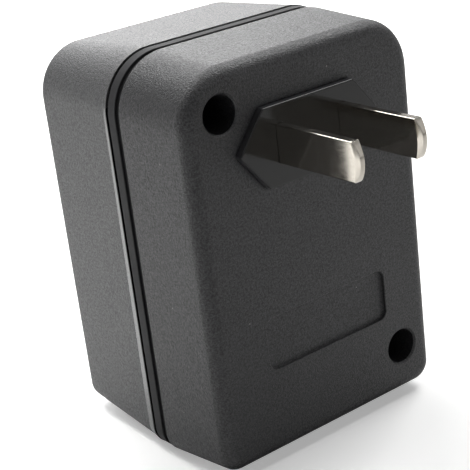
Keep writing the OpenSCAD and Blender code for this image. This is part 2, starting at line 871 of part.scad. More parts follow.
module winding(z_low) color([0.72, 0.38, 0.2]) {
    limb_ring(z_low + turn_gap, section_l - 2 * turn_gap, bobbin_outer_x + turn_gap,
        bobbin_outer_y + turn_gap, winding_x, winding_y, turn_corner_r);
}

module tape(z_low) color([0.92, 0.8, 0.3]) {
    translate([0, core_y, z_low + turn_gap])
        linear_extrude(section_l - 2 * turn_gap)
            difference() {
                round_rect(2 * (winding_x + turn_gap + tape_t),
                    2 * (winding_y + turn_gap + tape_t), turn_corner_r + turn_gap + tape_t);
                round_rect(2 * (winding_x + turn_gap), 2 * (winding_y + turn_gap),
                    turn_corner_r + turn_gap);
            }
}

module primary_winding() { winding(upper_section_z); }

module secondary_winding() { winding(lower_section_z); }

module primary_tape() { tape(upper_section_z); }

module secondary_tape() { tape(lower_section_z); }

// A round bar along X, centred on the fuse
module fuse_bar(length, r) {
    translate([-length / 2, fuse_y, fuse_z])
        rotate([0, 90, 0]) cylinder(h = length, r = r);
}

// Thermal fuse: a metal case with one wire at each end
module thermal_fuse() color([0.78, 0.76, 0.7]) {
    fuse_bar(fuse_l, fuse_d / 2);
    fuse_bar(2 * fuse_end_x, fuse_wire_d / 2);
}

module fuse_sleeve() color([0.93, 0.92, 0.88]) {
    difference() {
        fuse_bar(fuse_l + 2 * fuse_sleeve_over, fuse_sleeve_r);
        fuse_bar(fuse_l + 2 * fuse_sleeve_over + overrun, fuse_d / 2 + fuse_sleeve_gap);
    }
}

// A smooth curve through the points of a route, with the same number of steps in each span
function between(a, b, c, d, t) = (2 * b + (c - a) * t + (2 * a - 5 * b + 4 * c - d) * t * t
    + (3 * b - a - 3 * c + d) * t * t * t) / 2;
function curve(route) = let (last = len(route) - 1) [
    for (i = [0:last - 1]) for (k = [0:lead_steps - 1])
        between(route[max(i - 1, 0)], route[i], route[i + 1], route[min(i + 2, last)],
            k / lead_steps),
    route[last]
];

// Directions across the curve, each turned as little as possible from the one before
first_side_shares = [0.3, 0.2, 1];
function along(path, i) = let (last = len(path) - 1, d = path[min(i + 1, last)] - path[max(i - 1, 0)])
    d / norm(d);
function square_to(v, t) = let (s = v - (v * t) * t) s / norm(s);
function across(path) = [
    for (i = 0, v = square_to(first_side_shares, along(path, 0)); i < len(path);
        i = i + 1, v = square_to(v, along(path, min(i, len(path) - 1)))) v
];

// A closed tube along a route
module tube(route, r) {
    path = curve(route);
    sides = across(path);
    count = len(path);
    points = [
        for (i = [0:count - 1]) for (k = [0:lead_sides - 1])
            let (a = 360 * k / lead_sides, t = along(path, i))
                path[i] + r * (cos(a) * sides[i] + sin(a) * cross(t, sides[i]))
    ];
    walls = [
        for (i = [0:count - 2]) for (k = [0:lead_sides - 1])
            let (n = (k + 1) % lead_sides, low = i * lead_sides, high = low + lead_sides)
                each [[low + k, high + k, high + n], [low + k, high + n, low + n]]
    ];
    start_cap = [for (k = [1:lead_sides - 2]) [0, k, k + 1]];
    top = (count - 1) * lead_sides;
    end_cap = [for (k = [1:lead_sides - 2]) [top, top + k + 1, top + k]];
    polyhedron(points = points, faces = concat(walls, start_cap, end_cap));
}

// Places that the leads run between
lead_r = lead_d / 2;
touch = lead_r + turn_gap;
tail_mid_y = tail_end_y + tail_w / 2;
tail_side_x = (blade_spacing + blade_t) / 2;
tail_near_x = (blade_spacing - blade_t) / 2;
rear_pin_y = core_y + pin_y_offset;
front_pin_y = core_y - pin_y_offset;
pin_mid_z = pin_block_z + pin_stand / 2;
slot_mid_y = (core_rear_y + plate_y - plate_t) / 2;
over_core_z = core_top_z + seat_gap + lead_r;
lug_mid_y = sleeve_end_y + lug_l - lug_w / 2;

// Live lead: from the left blade's tail to the fuse
module live_lead() color([0.12, 0.12, 0.13]) {
    tube([
        [tail_side_x + seat_gap, tail_mid_y, 0],
        [tail_side_x + 2 * lead_d, tail_mid_y, 0],
        [fuse_end_x + 3 * lead_d, (tail_mid_y + fuse_y) / 2, fuse_z / 2],
        [fuse_end_x + 2 * lead_d, fuse_y, fuse_z],
        [fuse_end_x + seat_gap, fuse_y, fuse_z]
    ], lead_r);
}

// Fused lead: from the fuse, over the edge of the core and down to a terminal pin
module fused_lead() color([0.75, 0.12, 0.1]) {
    tube([
        [-fuse_end_x - seat_gap, fuse_y, fuse_z],
        [-fuse_end_x - 2 * lead_d, fuse_y, fuse_z],
        [-fuse_end_x - 3 * lead_d, fuse_y + 2 * lead_d, over_core_z + lead_d],
        [-fuse_end_x - 2 * lead_d, slot_mid_y, core_top_z],
        [-fuse_end_x, slot_mid_y, pin_mid_z + lead_d],
        [-pin_x - 2 * lead_d, rear_pin_y, pin_mid_z],
        [-pin_x - pin_d / 2 - seat_gap, rear_pin_y, pin_mid_z]
    ], lead_r);
}

// Neutral lead: from the right blade's tail, under the tails, to the other rear pin
module neutral_lead() color([0.9, 0.9, 0.88]) {
    tube([
        [-tail_near_x + seat_gap, tail_mid_y, 0],
        [-tail_near_x + 2 * lead_d, tail_mid_y, 0],
        [0, (tail_mid_y + slot_mid_y) / 2, over_core_z + lead_d],
        [pin_x - lead_d, slot_mid_y, core_top_z],
        [pin_x + lead_d, slot_mid_y, pin_mid_z + 2 * lead_d],
        [pin_x + 2 * lead_d, rear_pin_y, pin_mid_z],
        [pin_x + pin_d / 2 + seat_gap, rear_pin_y, pin_mid_z]
    ], lead_r);
}

// Output lead: from a front pin, up between the guides and over the plate to a contact
module output_lead(side) {
    gap_x = (pin_spacing / 2 - sleeve_outer_r + post_r) / 2;
    rise_y = (core_front_y + socket_back_y) / 2;
    over_plate_z = contact_plate_half_h + 1.5 * lead_d;
    tube([
        [side * (pin_x + pin_d / 2 + seat_gap), front_pin_y, pin_mid_z],
        [side * (pin_x + 2 * lead_d), front_pin_y, pin_mid_z],
        [side * gap_x, rise_y, core_top_z],
        [side * gap_x, rise_y, 0],
        [side * gap_x, guide_end_y, over_plate_z],
        [side * gap_x, contact_plate_y, over_plate_z],
        [side * pin_spacing / 2, lug_mid_y, 3 * lead_d],
        [side * pin_spacing / 2, lug_mid_y, lug_t / 2 + seat_gap]
    ], lead_r);
}

module output_lead_left() color([0.85, 0.65, 0.1]) { output_lead(1); }

module output_lead_right() color([0.85, 0.65, 0.1]) { output_lead(-1); }

front_shell();
rear_shell();
case_screws();
plug_block();
blade_left();
blade_right();
plug_plate();
plug_plate_screws();
socket_face();
socket_screws();
contact_left();
contact_right();
contact_plate();
contact_plate_screw();
e_laminations();
i_laminations();
bobbin();
terminal_pins();
primary_winding();
secondary_winding();
primary_tape();
secondary_tape();
thermal_fuse();
fuse_sleeve();
live_lead();
fused_lead();
neutral_lead();
output_lead_left();
output_lead_right();
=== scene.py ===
# %% [markdown]
# # A plug-in voltage converter
# The object is a small mains transformer in a black two-part housing that hangs on its own plug. The packed
# model brings every solid at its real size and place. This lesson gives it its skin: moulded shells with
# soft edges, a glossy plug block, plated blades, and a finish for each piece inside.
# All sizes below are in millimetres, and MM turns them into Blender's metres at the very end of a shape.

# %% The frame
import math

import bmesh
import bpy
import numpy as np
from mathutils import Matrix, Vector
from mathutils.geometry import delaunay_2d_cdt


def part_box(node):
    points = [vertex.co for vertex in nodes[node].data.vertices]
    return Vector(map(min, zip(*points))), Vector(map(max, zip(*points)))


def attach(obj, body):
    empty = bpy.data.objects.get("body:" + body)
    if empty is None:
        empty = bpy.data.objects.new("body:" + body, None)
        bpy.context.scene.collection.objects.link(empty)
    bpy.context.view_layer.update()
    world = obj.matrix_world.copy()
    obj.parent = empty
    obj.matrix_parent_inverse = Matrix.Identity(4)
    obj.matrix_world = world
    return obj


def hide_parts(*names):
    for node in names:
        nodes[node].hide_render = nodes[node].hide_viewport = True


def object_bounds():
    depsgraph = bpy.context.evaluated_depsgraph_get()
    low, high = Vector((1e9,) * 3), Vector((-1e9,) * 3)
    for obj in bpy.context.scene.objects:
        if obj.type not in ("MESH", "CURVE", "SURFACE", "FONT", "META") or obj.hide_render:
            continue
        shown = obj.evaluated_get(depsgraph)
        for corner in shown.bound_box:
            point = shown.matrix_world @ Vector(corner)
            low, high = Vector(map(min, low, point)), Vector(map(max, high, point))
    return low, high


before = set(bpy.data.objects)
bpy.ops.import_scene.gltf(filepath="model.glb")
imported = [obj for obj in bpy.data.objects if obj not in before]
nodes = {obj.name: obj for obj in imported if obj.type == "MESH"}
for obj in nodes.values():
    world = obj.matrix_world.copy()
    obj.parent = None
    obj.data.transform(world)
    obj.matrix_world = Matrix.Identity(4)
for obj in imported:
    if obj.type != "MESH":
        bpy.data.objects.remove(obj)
cad_low, cad_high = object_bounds()
MM = 0.001
print("solids in the frame:", len(nodes))
print("box in mm:", [round(v / MM, 1) for v in cad_high - cad_low])

# %% [markdown]
# ## The sizes of the housing
# A moulded box is never square: its walls lean a few degrees so that it slides out of the mould. The lean is
# measured from the joint of the two shells, where the housing is widest, and the plug face is at y = 0.

# %% Sizes of the housing
WALL = 2.2
HALF_W = 24.0
HEIGHT = 68.4
TOP_Z = 14.8
BOTTOM_Z = TOP_Z - HEIGHT
TOP_CORNER_R = 9.6
BOTTOM_CORNER_R = 4.2
SIDE_LEAN = math.tan(math.radians(3.2))
TOP_LEAN = math.tan(math.radians(3.5))
BOTTOM_LEAN = math.tan(math.radians(5.4))
REAR_DEPTH, BAND_W = 16.1, 3.5
REAR_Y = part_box("rear_shell")[1].y / MM
GROOVE_Y = REAR_Y - REAR_DEPTH
RIM_Y = GROOVE_Y - BAND_W
FRONT_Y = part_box("front_shell")[0].y / MM
REAR_EDGE_R = 2.2
FRONT_EDGE_R = 2.8
print("depth of the housing:", round(REAR_Y - FRONT_Y, 2))
print("joint from", round(GROOVE_Y, 2), "to", round(RIM_Y, 2))

# %% [markdown]
# ## One outline for the whole housing
# Every ring of the housing is the same rounded rectangle, moved a little. Each point of it knows three
# things: where it is at the joint, which way it looks, and how far it moves for each millimetre of depth.
# A ring anywhere is then one line of arithmetic on whole arrays, and rings always match point for point.

# %% The outline and its rings
ARC_STEPS = 20
SIDE_STEPS = 12


def corner_outline(centres, radii):
    """Points and outward normals of a shape with four round corners, in X and Z.
    A point of a corner is its centre plus its radius times (cos a, sin a) over a quarter turn. The points of
    a straight side are mixed in equal steps from the end of one corner to the start of the next.
    The third array holds how much of each corner is in each point, so that a corner can be moved later."""
    a = np.radians(90 * np.arange(4)[:, None] + np.linspace(0, 90, ARC_STEPS + 1))
    look = np.stack([np.cos(a), np.sin(a)], -1)
    arc = centres[:, None] + radii[:, None, None] * look
    own = np.repeat(np.eye(4)[:, None], ARC_STEPS + 1, axis=1)
    t = (np.arange(SIDE_STEPS) + 1)[None, :, None] / (SIDE_STEPS + 1)
    side = arc[:, -1:] * (1 - t) + np.roll(arc[:, :1], -1, axis=0) * t
    side_look = np.repeat(look[:, -1:], SIDE_STEPS, axis=1)
    side_own = own[:, -1:] * (1 - t) + np.roll(own[:, :1], -1, axis=0) * t
    return tuple(np.concatenate(pair, axis=1).reshape(-1, pair[0].shape[-1])
                 for pair in ((arc, side), (look, side_look), (own, side_own)))


corner_radii = np.array([TOP_CORNER_R, TOP_CORNER_R, BOTTOM_CORNER_R, BOTTOM_CORNER_R])
corner_centres = np.column_stack([
    np.array([1, -1, -1, 1]) * (HALF_W - corner_radii),
    [TOP_Z - TOP_CORNER_R, TOP_Z - TOP_CORNER_R, BOTTOM_Z + BOTTOM_CORNER_R, BOTTOM_Z + BOTTOM_CORNER_R],
])
at_joint, look_out, corner_share = corner_outline(corner_centres, corner_radii)
corner_drop = np.array([SIDE_LEAN - TOP_LEAN] * 2 + [BOTTOM_LEAN - SIDE_LEAN] * 2)
lean_in = -SIDE_LEAN * look_out
lean_in[:, 1] += corner_share @ corner_drop


def housing_ring(y, inset):
    """A ring of the housing at depth y, drawn in by inset.
    It is the outline at the joint, plus the lean times the distance from the joint, less the inset times
    the normal. Both y and inset may differ from point to point."""
    y = np.broadcast_to(np.asarray(y, float), len(at_joint))
    inset = np.broadcast_to(np.asarray(inset, float), len(at_joint))
    run = np.maximum(np.maximum(y - GROOVE_Y, RIM_Y - y), 0)
    flat = at_joint + run[:, None] * lean_in - inset[:, None] * look_out
    return np.column_stack([flat[:, 0], y, flat[:, 1]])


print("points in a ring:", len(at_joint))

# %% [markdown]
# ## Edges that catch the light
# No moulded edge is sharp. A profile here is a short list of corners in the plane of depth and inset, and
# this helper rounds each of them with a true arc, so that even a groove half a millimetre wide has edges
# that shine a little.

# %% Rounded profiles


def round_profile(corners, radii, steps=4):
    """A polyline with round corners, as pairs of depth and inset.
    At each inner corner an arc of the given radius touches both legs: it starts r / tan(half the angle)
    from the corner, and its centre lies r / sin(half the angle) along the line that halves the angle."""
    corners = np.asarray(corners, float)
    out = [corners[:1]]
    for before, here, after, r in zip(corners[:-2], corners[1:-1], corners[2:], radii):
        u = (before - here) / np.linalg.norm(before - here)
        v = (after - here) / np.linalg.norm(after - here)
        half = math.acos(np.clip(u @ v, -1, 1)) / 2
        centre = here + (u + v) / np.linalg.norm(u + v) * r / math.sin(half)
        start = here + u * r / math.tan(half) - centre
        end = here + v * r / math.tan(half) - centre
        sweep = math.pi - 2 * half
        t = np.linspace(0, 1, steps + 1)[:, None]
        out.append(centre + (np.sin((1 - t) * sweep) * start + np.sin(t * sweep) * end) / math.sin(sweep))
    out.append(corners[-1:])
    return np.concatenate(out)


def through(start, end, lands, radii):
    """The profile of a straight wall from one depth to another: it begins and ends on the flat faces, at the
    two insets in lands, and turns with two arcs."""
    return round_profile([(start, lands[0]), (start, 0), (end, 0), (end, lands[1])], radii)


def round_polygon(corners, radius, steps=6):
    """A closed outline with round corners and its outward normals, in X and Z, for corners that run
    anticlockwise. Each corner becomes an arc from the normal of one side to the normal of the next."""
    corners = np.asarray(corners, float)
    radius = np.broadcast_to(np.asarray(radius, float), len(corners))
    side = np.roll(corners, -1, axis=0) - corners
    heading = np.arctan2(side[:, 1], side[:, 0]) - math.pi / 2
    last = np.roll(heading, 1)
    turn = (heading - last) % (2 * math.pi)
    into = np.column_stack([np.cos(last) + np.cos(heading), np.sin(last) + np.sin(heading)])
    into /= np.linalg.norm(into, axis=1)[:, None]
    centre = corners - into * (radius / np.cos(turn / 2))[:, None]
    a = last[:, None] + turn[:, None] * np.linspace(0, 1, steps + 1)
    look = np.stack([np.cos(a), np.sin(a)], -1)
    points = centre[:, None] + radius[:, None, None] * look
    return points.reshape(-1, 2), look.reshape(-1, 2)


def circle(x, z, r, steps=56):
    """A circle and its outward normals: the centre plus r (cos a, sin a)."""
    a = np.linspace(0, 2 * math.pi, steps, endpoint=False)
    look = np.column_stack([np.cos(a), np.sin(a)])
    return np.array([x, z]) + r * look, look


# %% [markdown]
# ## A skin that closes
# A skin gathers rings and the faces between them, and then becomes one mesh. The flat faces with windows in
# them are filled by a triangulation that keeps every ring's edge. At the end each point's normal is the sum
# of the normals of the faces round it, weighted by their area, which keeps flats flat and lets the small
# arcs turn.

# %% The skin


class Skin:
    """Rings of points in millimetres, and the faces between them."""

    def __init__(self):
        self.points, self.faces, self.count = [], [], 0

    def ring(self, points):
        """Adds points, one row each, and gives their numbers."""
        self.points.append(points)
        self.count += len(points)
        return np.arange(self.count - len(points), self.count)

    def band(self, a, b):
        """Joins two closed rings of equal length with four-sided faces."""
        self.faces += np.column_stack([a, np.roll(a, -1), np.roll(b, -1), b]).tolist()

    def carry(self, rings):
        """Adds rings one after the other with a band between each two. Gives the first and the last."""
        numbers = [self.ring(r) for r in rings]
        for a, b in zip(numbers[:-1], numbers[1:]):
            self.band(a, b)
        return numbers[0], numbers[-1]

    def fill(self, outer, holes=()):
        """Fills the flat region inside a ring and outside the holes, which all lie at one depth.
        The holes are convex, so a triangle with all its corners on one hole's ring lies in that hole."""
        loops = [outer, *holes]
        numbers = np.concatenate(loops)
        loop_of = np.repeat(np.arange(len(loops)), [len(loop) for loop in loops])
        places = np.concatenate(self.points)[numbers][:, [0, 2]]
        here = np.arange(len(numbers))
        after = np.concatenate([np.roll(here[loop_of == k], -1) for k in range(len(loops))])
        inside_outline = 1
        _, _, tris, origin, _, _ = delaunay_2d_cdt(
            [Vector(p) for p in places], np.column_stack([here, after]).tolist(), [], inside_outline, 1e-9)
        tris = np.array([o[0] for o in origin])[np.array(tris)]
        of_loop = loop_of[tris]
        in_a_hole = (of_loop.min(1) == of_loop.max(1)) & (of_loop[:, 0] > 0)
        self.faces += numbers[tris[~in_a_hole]].tolist()

    def mesh(self, name, material, node):
        """Makes the mesh, with its normals, and lets it stand for a node of the frame."""
        mesh = bpy.data.meshes.new(name)
        mesh.from_pydata((np.concatenate(self.points) * MM).tolist(), [], self.faces)
        work = bmesh.new()
        work.from_mesh(mesh)
        bmesh.ops.recalc_face_normals(work, faces=work.faces)
        open_edges = sum(not e.is_manifold for e in work.edges)
        work.to_mesh(mesh)
        work.free()
        mesh.shade_smooth()
        mesh.normals_split_custom_set_from_vertices(area_normals(mesh).tolist())
        mesh.materials.append(material)
        piece = bpy.data.objects.new(name, mesh)
        bpy.context.scene.collection.objects.link(piece)
        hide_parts(node)
        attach(piece, "root")
        print(name, "faces", len(mesh.polygons), "open edges", open_edges)


def area_normals(mesh):
    """The normal of each point: the sum of its faces' normals, each times that face's area."""
    corner_point = np.empty(len(mesh.loops), np.int64)
    mesh.loops.foreach_get("vertex_index", corner_point)
    size = np.empty(len(mesh.polygons), np.int64)
    mesh.polygons.foreach_get("loop_total", size)
    area = np.empty(len(mesh.polygons))
    mesh.polygons.foreach_get("area", area)
    normal = np.empty(3 * len(mesh.polygons))
    mesh.polygons.foreach_get("normal", normal)
    pull = np.repeat(normal.reshape(-1, 3) * area[:, None], size, axis=0)
    total = np.zeros((len(mesh.vertices), 3))
    np.add.at(total, corner_point, pull)
    return total / np.linalg.norm(total, axis=1)[:, None]


def along_y(shape, profile):
    """Rings of a flat shape at each depth of a profile, drawn in by its inset along the normals."""
    points, look = shape
    flats = [(y, points - inset * look) for y, inset in profile]
    return [np.column_stack([p[:, 0], np.full(len(p), y), p[:, 1]]) for y, p in flats]


# %% [markdown]
# ## How materials are made here
# Colours are written as the hex values that a painter would pick, and one function turns them to linear
# light. One more function adds a node, sets it and links it. Patterns are measured in millimetres: the
# object's own coordinates are scaled up once, so a noise of scale 1 / 0.4 has grains 0.4 mm across.

# %% Colour and node helpers
# a noise hardly ever leaves this span, so it is what a range starts from
NOISE_SPAN = {"From_Min": 0.3, "From_Max": 0.7}


def colour(hex_value):
    """Linear red, green, blue and alpha of an sRGB hex value."""
    c = np.array([int(hex_value[i:i + 2], 16) for i in (1, 3, 5)]) / 255
    linear = np.where(c <= 0.04045, c / 12.92, ((c + 0.055) / 1.055) ** 2.4)
    return (*linear.tolist(), 1.0)


def add(tree, kind, **values):
    """Adds a node. A small-letter name sets a property of the node. Any other name, or i and a number, is an
    input: a node or a socket is linked to it, and a value is set."""
    node = tree.nodes.new("ShaderNode" + kind)
    for name, value in values.items():
        if name[1:].isdigit():
            socket = node.inputs[int(name[1:])]
        elif name[0].islower():
            setattr(node, name, value)
            continue
        else:
            socket = next(s for s in node.inputs if s.name == name.replace("_", " ") and s.enabled)
        if isinstance(value, bpy.types.Node):
            value = next(s for s in value.outputs if s.enabled)
        if isinstance(value, bpy.types.NodeSocket):
            tree.links.new(value, socket)
        else:
            socket.default_value = value
    return node


def new_material(name):
    """An empty material: itself, its tree and its coordinates in millimetres."""
    material = bpy.data.materials.new(name)
    material.use_nodes = True
    tree = material.node_tree
    tree.nodes.clear()
    place = add(tree, "TexCoord").outputs["Object"]
    mm = add(tree, "VectorMath", operation="SCALE", i0=place, Scale=1 / MM)
    return material, tree, mm


# %% [markdown]
# ## Spark-eroded ABS
# The housing is charcoal ABS, moulded in a tool whose walls were eroded with sparks. That leaves a fine,
# pebbled grain without direction: it scatters the highlight, so the plastic looks matt and shows a faint
# mottle instead of reflections. The real grain is about 0.1 mm wide. It is drawn at 0.38 mm, the finest
# that shows at this distance. The same noise lifts the surface and mottles the colour, and its pits are
# rougher and less glossy than its tops. The two shells come from two tools, and the front one is the
# shinier. The joint's band is matt and looks darker, while the rim beside it is smooth: their place along
# the depth picks both out. In the narrow corners Ambient Occlusion darkens the colour towards black and
# lowers the gloss, which is painted shade. A few specks of white dust cling to the plastic.

# %% The housing's plastic
GRAIN_MM = 0.38
FINE_GRAIN_MM = 0.2
GRAIN_HEIGHT_MM = 0.1
CLOUD_MM = 9.0
# dust: one cell per DUST_MM, a speck in one cell of ten, and its radius as a share of the cell
DUST_MM, SPECK_SHARE, SPECK_R = 2.6, 0.1, 0.035
# how far from a corner the painted shade reaches
CORNER_SHADE_MM = 0.9
LIP_TOP_Z = TOP_Z - TOP_CORNER_R + 1.8
LIP_W = (1.0, 2.1)
LIP_RUN = 50


def spark_eroded_abs(half, shine, rougher):
    """The grained plastic of one shell. The specular level is multiplied by shine, and rougher is added to
    the roughness. The rim's strip widens in step with the distance below its upper end."""
    material, tree, mm = new_material("spark_eroded_abs_" + half)
    grain = add(tree, "TexNoise", Vector=mm, Scale=1 / GRAIN_MM, Detail=2.0, Roughness=0.6)
    fine = add(tree, "TexNoise", Vector=mm, Scale=1 / FINE_GRAIN_MM, Detail=1.0)
    cloud = add(tree, "TexNoise", Vector=mm, Scale=1 / CLOUD_MM, Detail=2.0)
    dust = add(tree, "TexVoronoi", Vector=mm, Scale=1 / DUST_MM)
    pick = add(tree, "SeparateColor", Color=dust.outputs["Color"])
    rare = add(tree, "Math", operation="LESS_THAN", i0=pick, i1=SPECK_SHARE)
    near = add(tree, "Math", operation="LESS_THAN", i0=dust, i1=SPECK_R)
    speck = add(tree, "Math", operation="MULTIPLY", i0=near, i1=rare)
    mottle = add(tree, "MapRange", Value=grain, **NOISE_SPAN, To_Min=0.2, To_Max=0.6)
    mottle = add(tree, "Math", operation="MULTIPLY_ADD", i0=cloud, i1=0.4, i2=mottle)
    base = add(tree, "Mix", data_type="RGBA", Factor=mottle, A=colour("#111112"), B=colour("#27272a"))
    base = add(tree, "Mix", data_type="RGBA", Factor=speck, A=base, B=colour("#8f8f8c"))
    across = add(tree, "SeparateXYZ", Vector=mm)
    on_band = add(tree, "Math", operation="COMPARE", i0=across.outputs["Y"],
                  i1=(GROOVE_Y + RIM_Y) / 2, i2=(GROOVE_Y - RIM_Y) / 2 - 0.01)
    lip = add(tree, "MapRange", Value=across.outputs["Z"], From_Min=LIP_TOP_Z, From_Max=LIP_TOP_Z - LIP_RUN,
              To_Min=RIM_Y - LIP_W[0], To_Max=RIM_Y - LIP_W[1])
    past_lip = add(tree, "Math", operation="GREATER_THAN", i0=across.outputs["Y"], i1=lip)
    before_gap = add(tree, "Math", operation="LESS_THAN", i0=across.outputs["Y"], i1=RIM_Y + 0.01)
    below_top = add(tree, "Math", operation="LESS_THAN", i0=across.outputs["Z"], i1=LIP_TOP_Z)
    on_lip = add(tree, "Math", operation="MULTIPLY", i0=before_gap, i1=past_lip)
    on_lip = add(tree, "Math", operation="MULTIPLY", i0=on_lip, i1=below_top)
    bare = add(tree, "Math", operation="MAXIMUM", i0=on_lip, i1=on_band)
    height = add(tree, "Math", operation="MULTIPLY_ADD", i0=grain, i1=0.7, i2=fine)
    strength = add(tree, "MapRange", Value=bare, To_Min=1.0, To_Max=0.1)
    bump = add(tree, "Bump", Strength=strength, Distance=GRAIN_HEIGHT_MM * MM, Height=height)
    pits = add(tree, "MapRange", Value=height, From_Min=0.65, From_Max=1.05,
               To_Min=0.68 * shine, To_Max=1.32 * shine)
    pits = add(tree, "Mix", data_type="FLOAT", Factor=on_band, A=pits, B=0.3)
    pits = add(tree, "Mix", data_type="FLOAT", Factor=on_lip, A=pits, B=0.8)
    rough = add(tree, "MapRange", Value=grain, **NOISE_SPAN, To_Min=0.56 + rougher, To_Max=0.42 + rougher)
    rough = add(tree, "Mix", data_type="FLOAT", Factor=on_band, A=rough, B=0.7)
    rough = add(tree, "Mix", data_type="FLOAT", Factor=on_lip, A=rough, B=0.22)
    # painted shade: near other surfaces the base colour goes towards near-black and the gloss drops
    corner = add(tree, "AmbientOcclusion", Distance=CORNER_SHADE_MM * MM, samples=6)
    shade = add(tree, "MapRange", Value=corner.outputs["AO"], From_Min=0.3, From_Max=0.75,
                To_Min=0.1, To_Max=1.0)
    base = add(tree, "Mix", data_type="RGBA", Factor=shade, A=colour("#050505"), B=base)
    pits = add(tree, "Math", operation="MULTIPLY", i0=pits, i1=shade)
    shader = add(tree, "BsdfPrincipled", Base_Color=base, Roughness=rough, IOR=1.6, Specular_IOR_Level=pits,
                 Normal=bump)
    add(tree, "OutputMaterial", Surface=shader)
    return material


rear_plastic = spark_eroded_abs("rear", 0.5, 0)
front_plastic = spark_eroded_abs("front", 0.92, 0.08)
print(rear_plastic.name, front_plastic.name, "grain", GRAIN_MM, "mm")

# %% [markdown]
# ## The rear shell
# Its rear face carries everything: two deep wells for the case screws, the six-sided window of the plug
# block and a sunk panel. The wells are spun, the window and the panel are carried inwards along the depth,
# and the same skin goes on over the joint band and its tongue to the inside of the wall. Cutting the holes
# out of a finished box would be shorter to write, but would leave their edges sharp and their normals poor.
# The first and last point of each profile lie on the flat faces, a little off the edge, and the list after
# the points gives the radius of each corner between them.

# %% Sizes of the rear shell
WELL_R = 3.05
WELL_DEPTH = 10.4
WELL_WALL = 0.7
WELL_FLOOR_T = 2.0
WELL_PLACES = [(HALF_W - 7.7, TOP_Z - 7.9), (-HALF_W + 7.7, BOTTOM_Z + 9.8)]
SCREW_HOLE_R = 1.72
WELL_LIP = 0.3
BLOCK_L, BLOCK_FLAT, BLOCK_H, BLOCK_DROP = 28.8, 18.6, 12.9, 0.3
FIT_GAP = 0.15
WINDOW_ROOM, WINDOW_CORNER_R = 0.04, 0.5
PANEL_W, PANEL_H, PANEL_X, PANEL_Z, PANEL_DEPTH = 25.8, 9.1, -0.4, -32.7, 0.6
PANEL_CORNERS_R = [1.9, 1.6, 1.6, 1.5]
BAND_RECESS = 0.12
GROOVE_W, GROOVE_DEPTH = 1.1, 0.5
JOINT_GAP, TONGUE_L = 0.45, 2.6
SEAT_GAP = 0.1
REAR_INNER_Y = REAR_Y - WALL
FRONT_INNER_Y = FRONT_Y + WALL
WELL_FLOOR_Y = REAR_Y - WELL_DEPTH
WELL_END_Y = WELL_FLOOR_Y - WELL_FLOOR_T


def six_sided(length, flat, height, margin=0.0, drop=0.0):
    """The six corners of a long hexagon with a tip at each end, let out by a margin and lowered by a drop.
    A slanted side moved out by the margin meets the axis margin x slant / half height further out."""
    tip, straight, side = length / 2, flat / 2, height / 2
    slant = math.hypot(tip - straight, side)
    far = tip + margin * slant / side
    near = straight + margin * (slant - (tip - straight)) / side
    up = side + margin
    corners = [(far, 0), (near, up), (-near, up), (-far, 0), (-near, -up), (near, -up)]
    return [(x, z - drop) for x, z in corners]


def rectangle(w, h, z=0.0, x=0.0):
    """The corners of a rectangle round a middle point, anticlockwise from the lower right one."""
    return [(x + w / 2, z - h / 2), (x + w / 2, z + h / 2), (x - w / 2, z + h / 2), (x - w / 2, z - h / 2)]


print("wells at", [(round(x, 1), round(z, 1)) for x, z in WELL_PLACES])

# %% The rear shell's skin
rear = Skin()
rear_profile = round_profile([
    (REAR_Y, REAR_EDGE_R + 0.2), (REAR_Y, 0), (GROOVE_Y, 0),
    (GROOVE_Y, BAND_RECESS + GROOVE_DEPTH), (GROOVE_Y - GROOVE_W, BAND_RECESS + GROOVE_DEPTH),
    (GROOVE_Y - GROOVE_W, BAND_RECESS), (RIM_Y + JOINT_GAP, BAND_RECESS),
    (RIM_Y + JOINT_GAP, WALL / 2 + FIT_GAP), (RIM_Y - TONGUE_L, WALL / 2 + FIT_GAP),
    (RIM_Y - TONGUE_L, WALL + SEAT_GAP), (GROOVE_Y + FIT_GAP, WALL + SEAT_GAP),
    (REAR_INNER_Y, WALL), (REAR_INNER_Y, WALL + 0.12),
], [REAR_EDGE_R, 0.42, 0.12, 0.12, 0.12, 0.14, 0.2, 0.2, 0.2, 0.05, 0.06], steps=8)
outer_face, inner_face = rear.carry([housing_ring(y, inset) for y, inset in rear_profile])

well_profile = round_profile([
    (REAR_Y, -0.5), (REAR_Y, -WELL_LIP), (REAR_Y - WELL_LIP, 0), (WELL_FLOOR_Y, 0),
    (WELL_FLOOR_Y, WELL_R - SCREW_HOLE_R), (WELL_END_Y, WELL_R - SCREW_HOLE_R),
    (WELL_END_Y, -WELL_WALL), (REAR_INNER_Y, -WELL_WALL),
], [0.06, 0.06, 0.3, 0.1, 0.1, 0.1])
wells = [rear.carry(along_y(circle(x, z, WELL_R), well_profile)) for x, z in WELL_PLACES]

window = round_polygon(six_sided(BLOCK_L, BLOCK_FLAT, BLOCK_H, WINDOW_ROOM, BLOCK_DROP), WINDOW_CORNER_R)
window_rings = rear.carry(along_y(window, through(REAR_Y, REAR_INNER_Y, (-0.3, -0.3), [0.06, 0.06])))

panel = round_polygon(rectangle(PANEL_W, PANEL_H, PANEL_Z, PANEL_X), PANEL_CORNERS_R)
panel_rings = rear.carry(along_y(panel, through(REAR_Y, REAR_Y - PANEL_DEPTH, (-0.3, 0.4), [0.14, 0.14])))

rear.fill(outer_face, [wells[0][0], wells[1][0], window_rings[0], panel_rings[0]])
rear.fill(panel_rings[1])
rear.fill(inner_face, [wells[0][1], wells[1][1], window_rings[1]])

# %% [markdown]
# ## The ribs that hold the core
# Inside, thin ribs grow out of the end walls. Two stops press against the core's outer limbs, a ledge with
# two gussets carries it, and two fingers lie over its top. Each is a bar that runs along the depth, and its
# rectangle may change on the way, as the gussets follow the leaning floor.

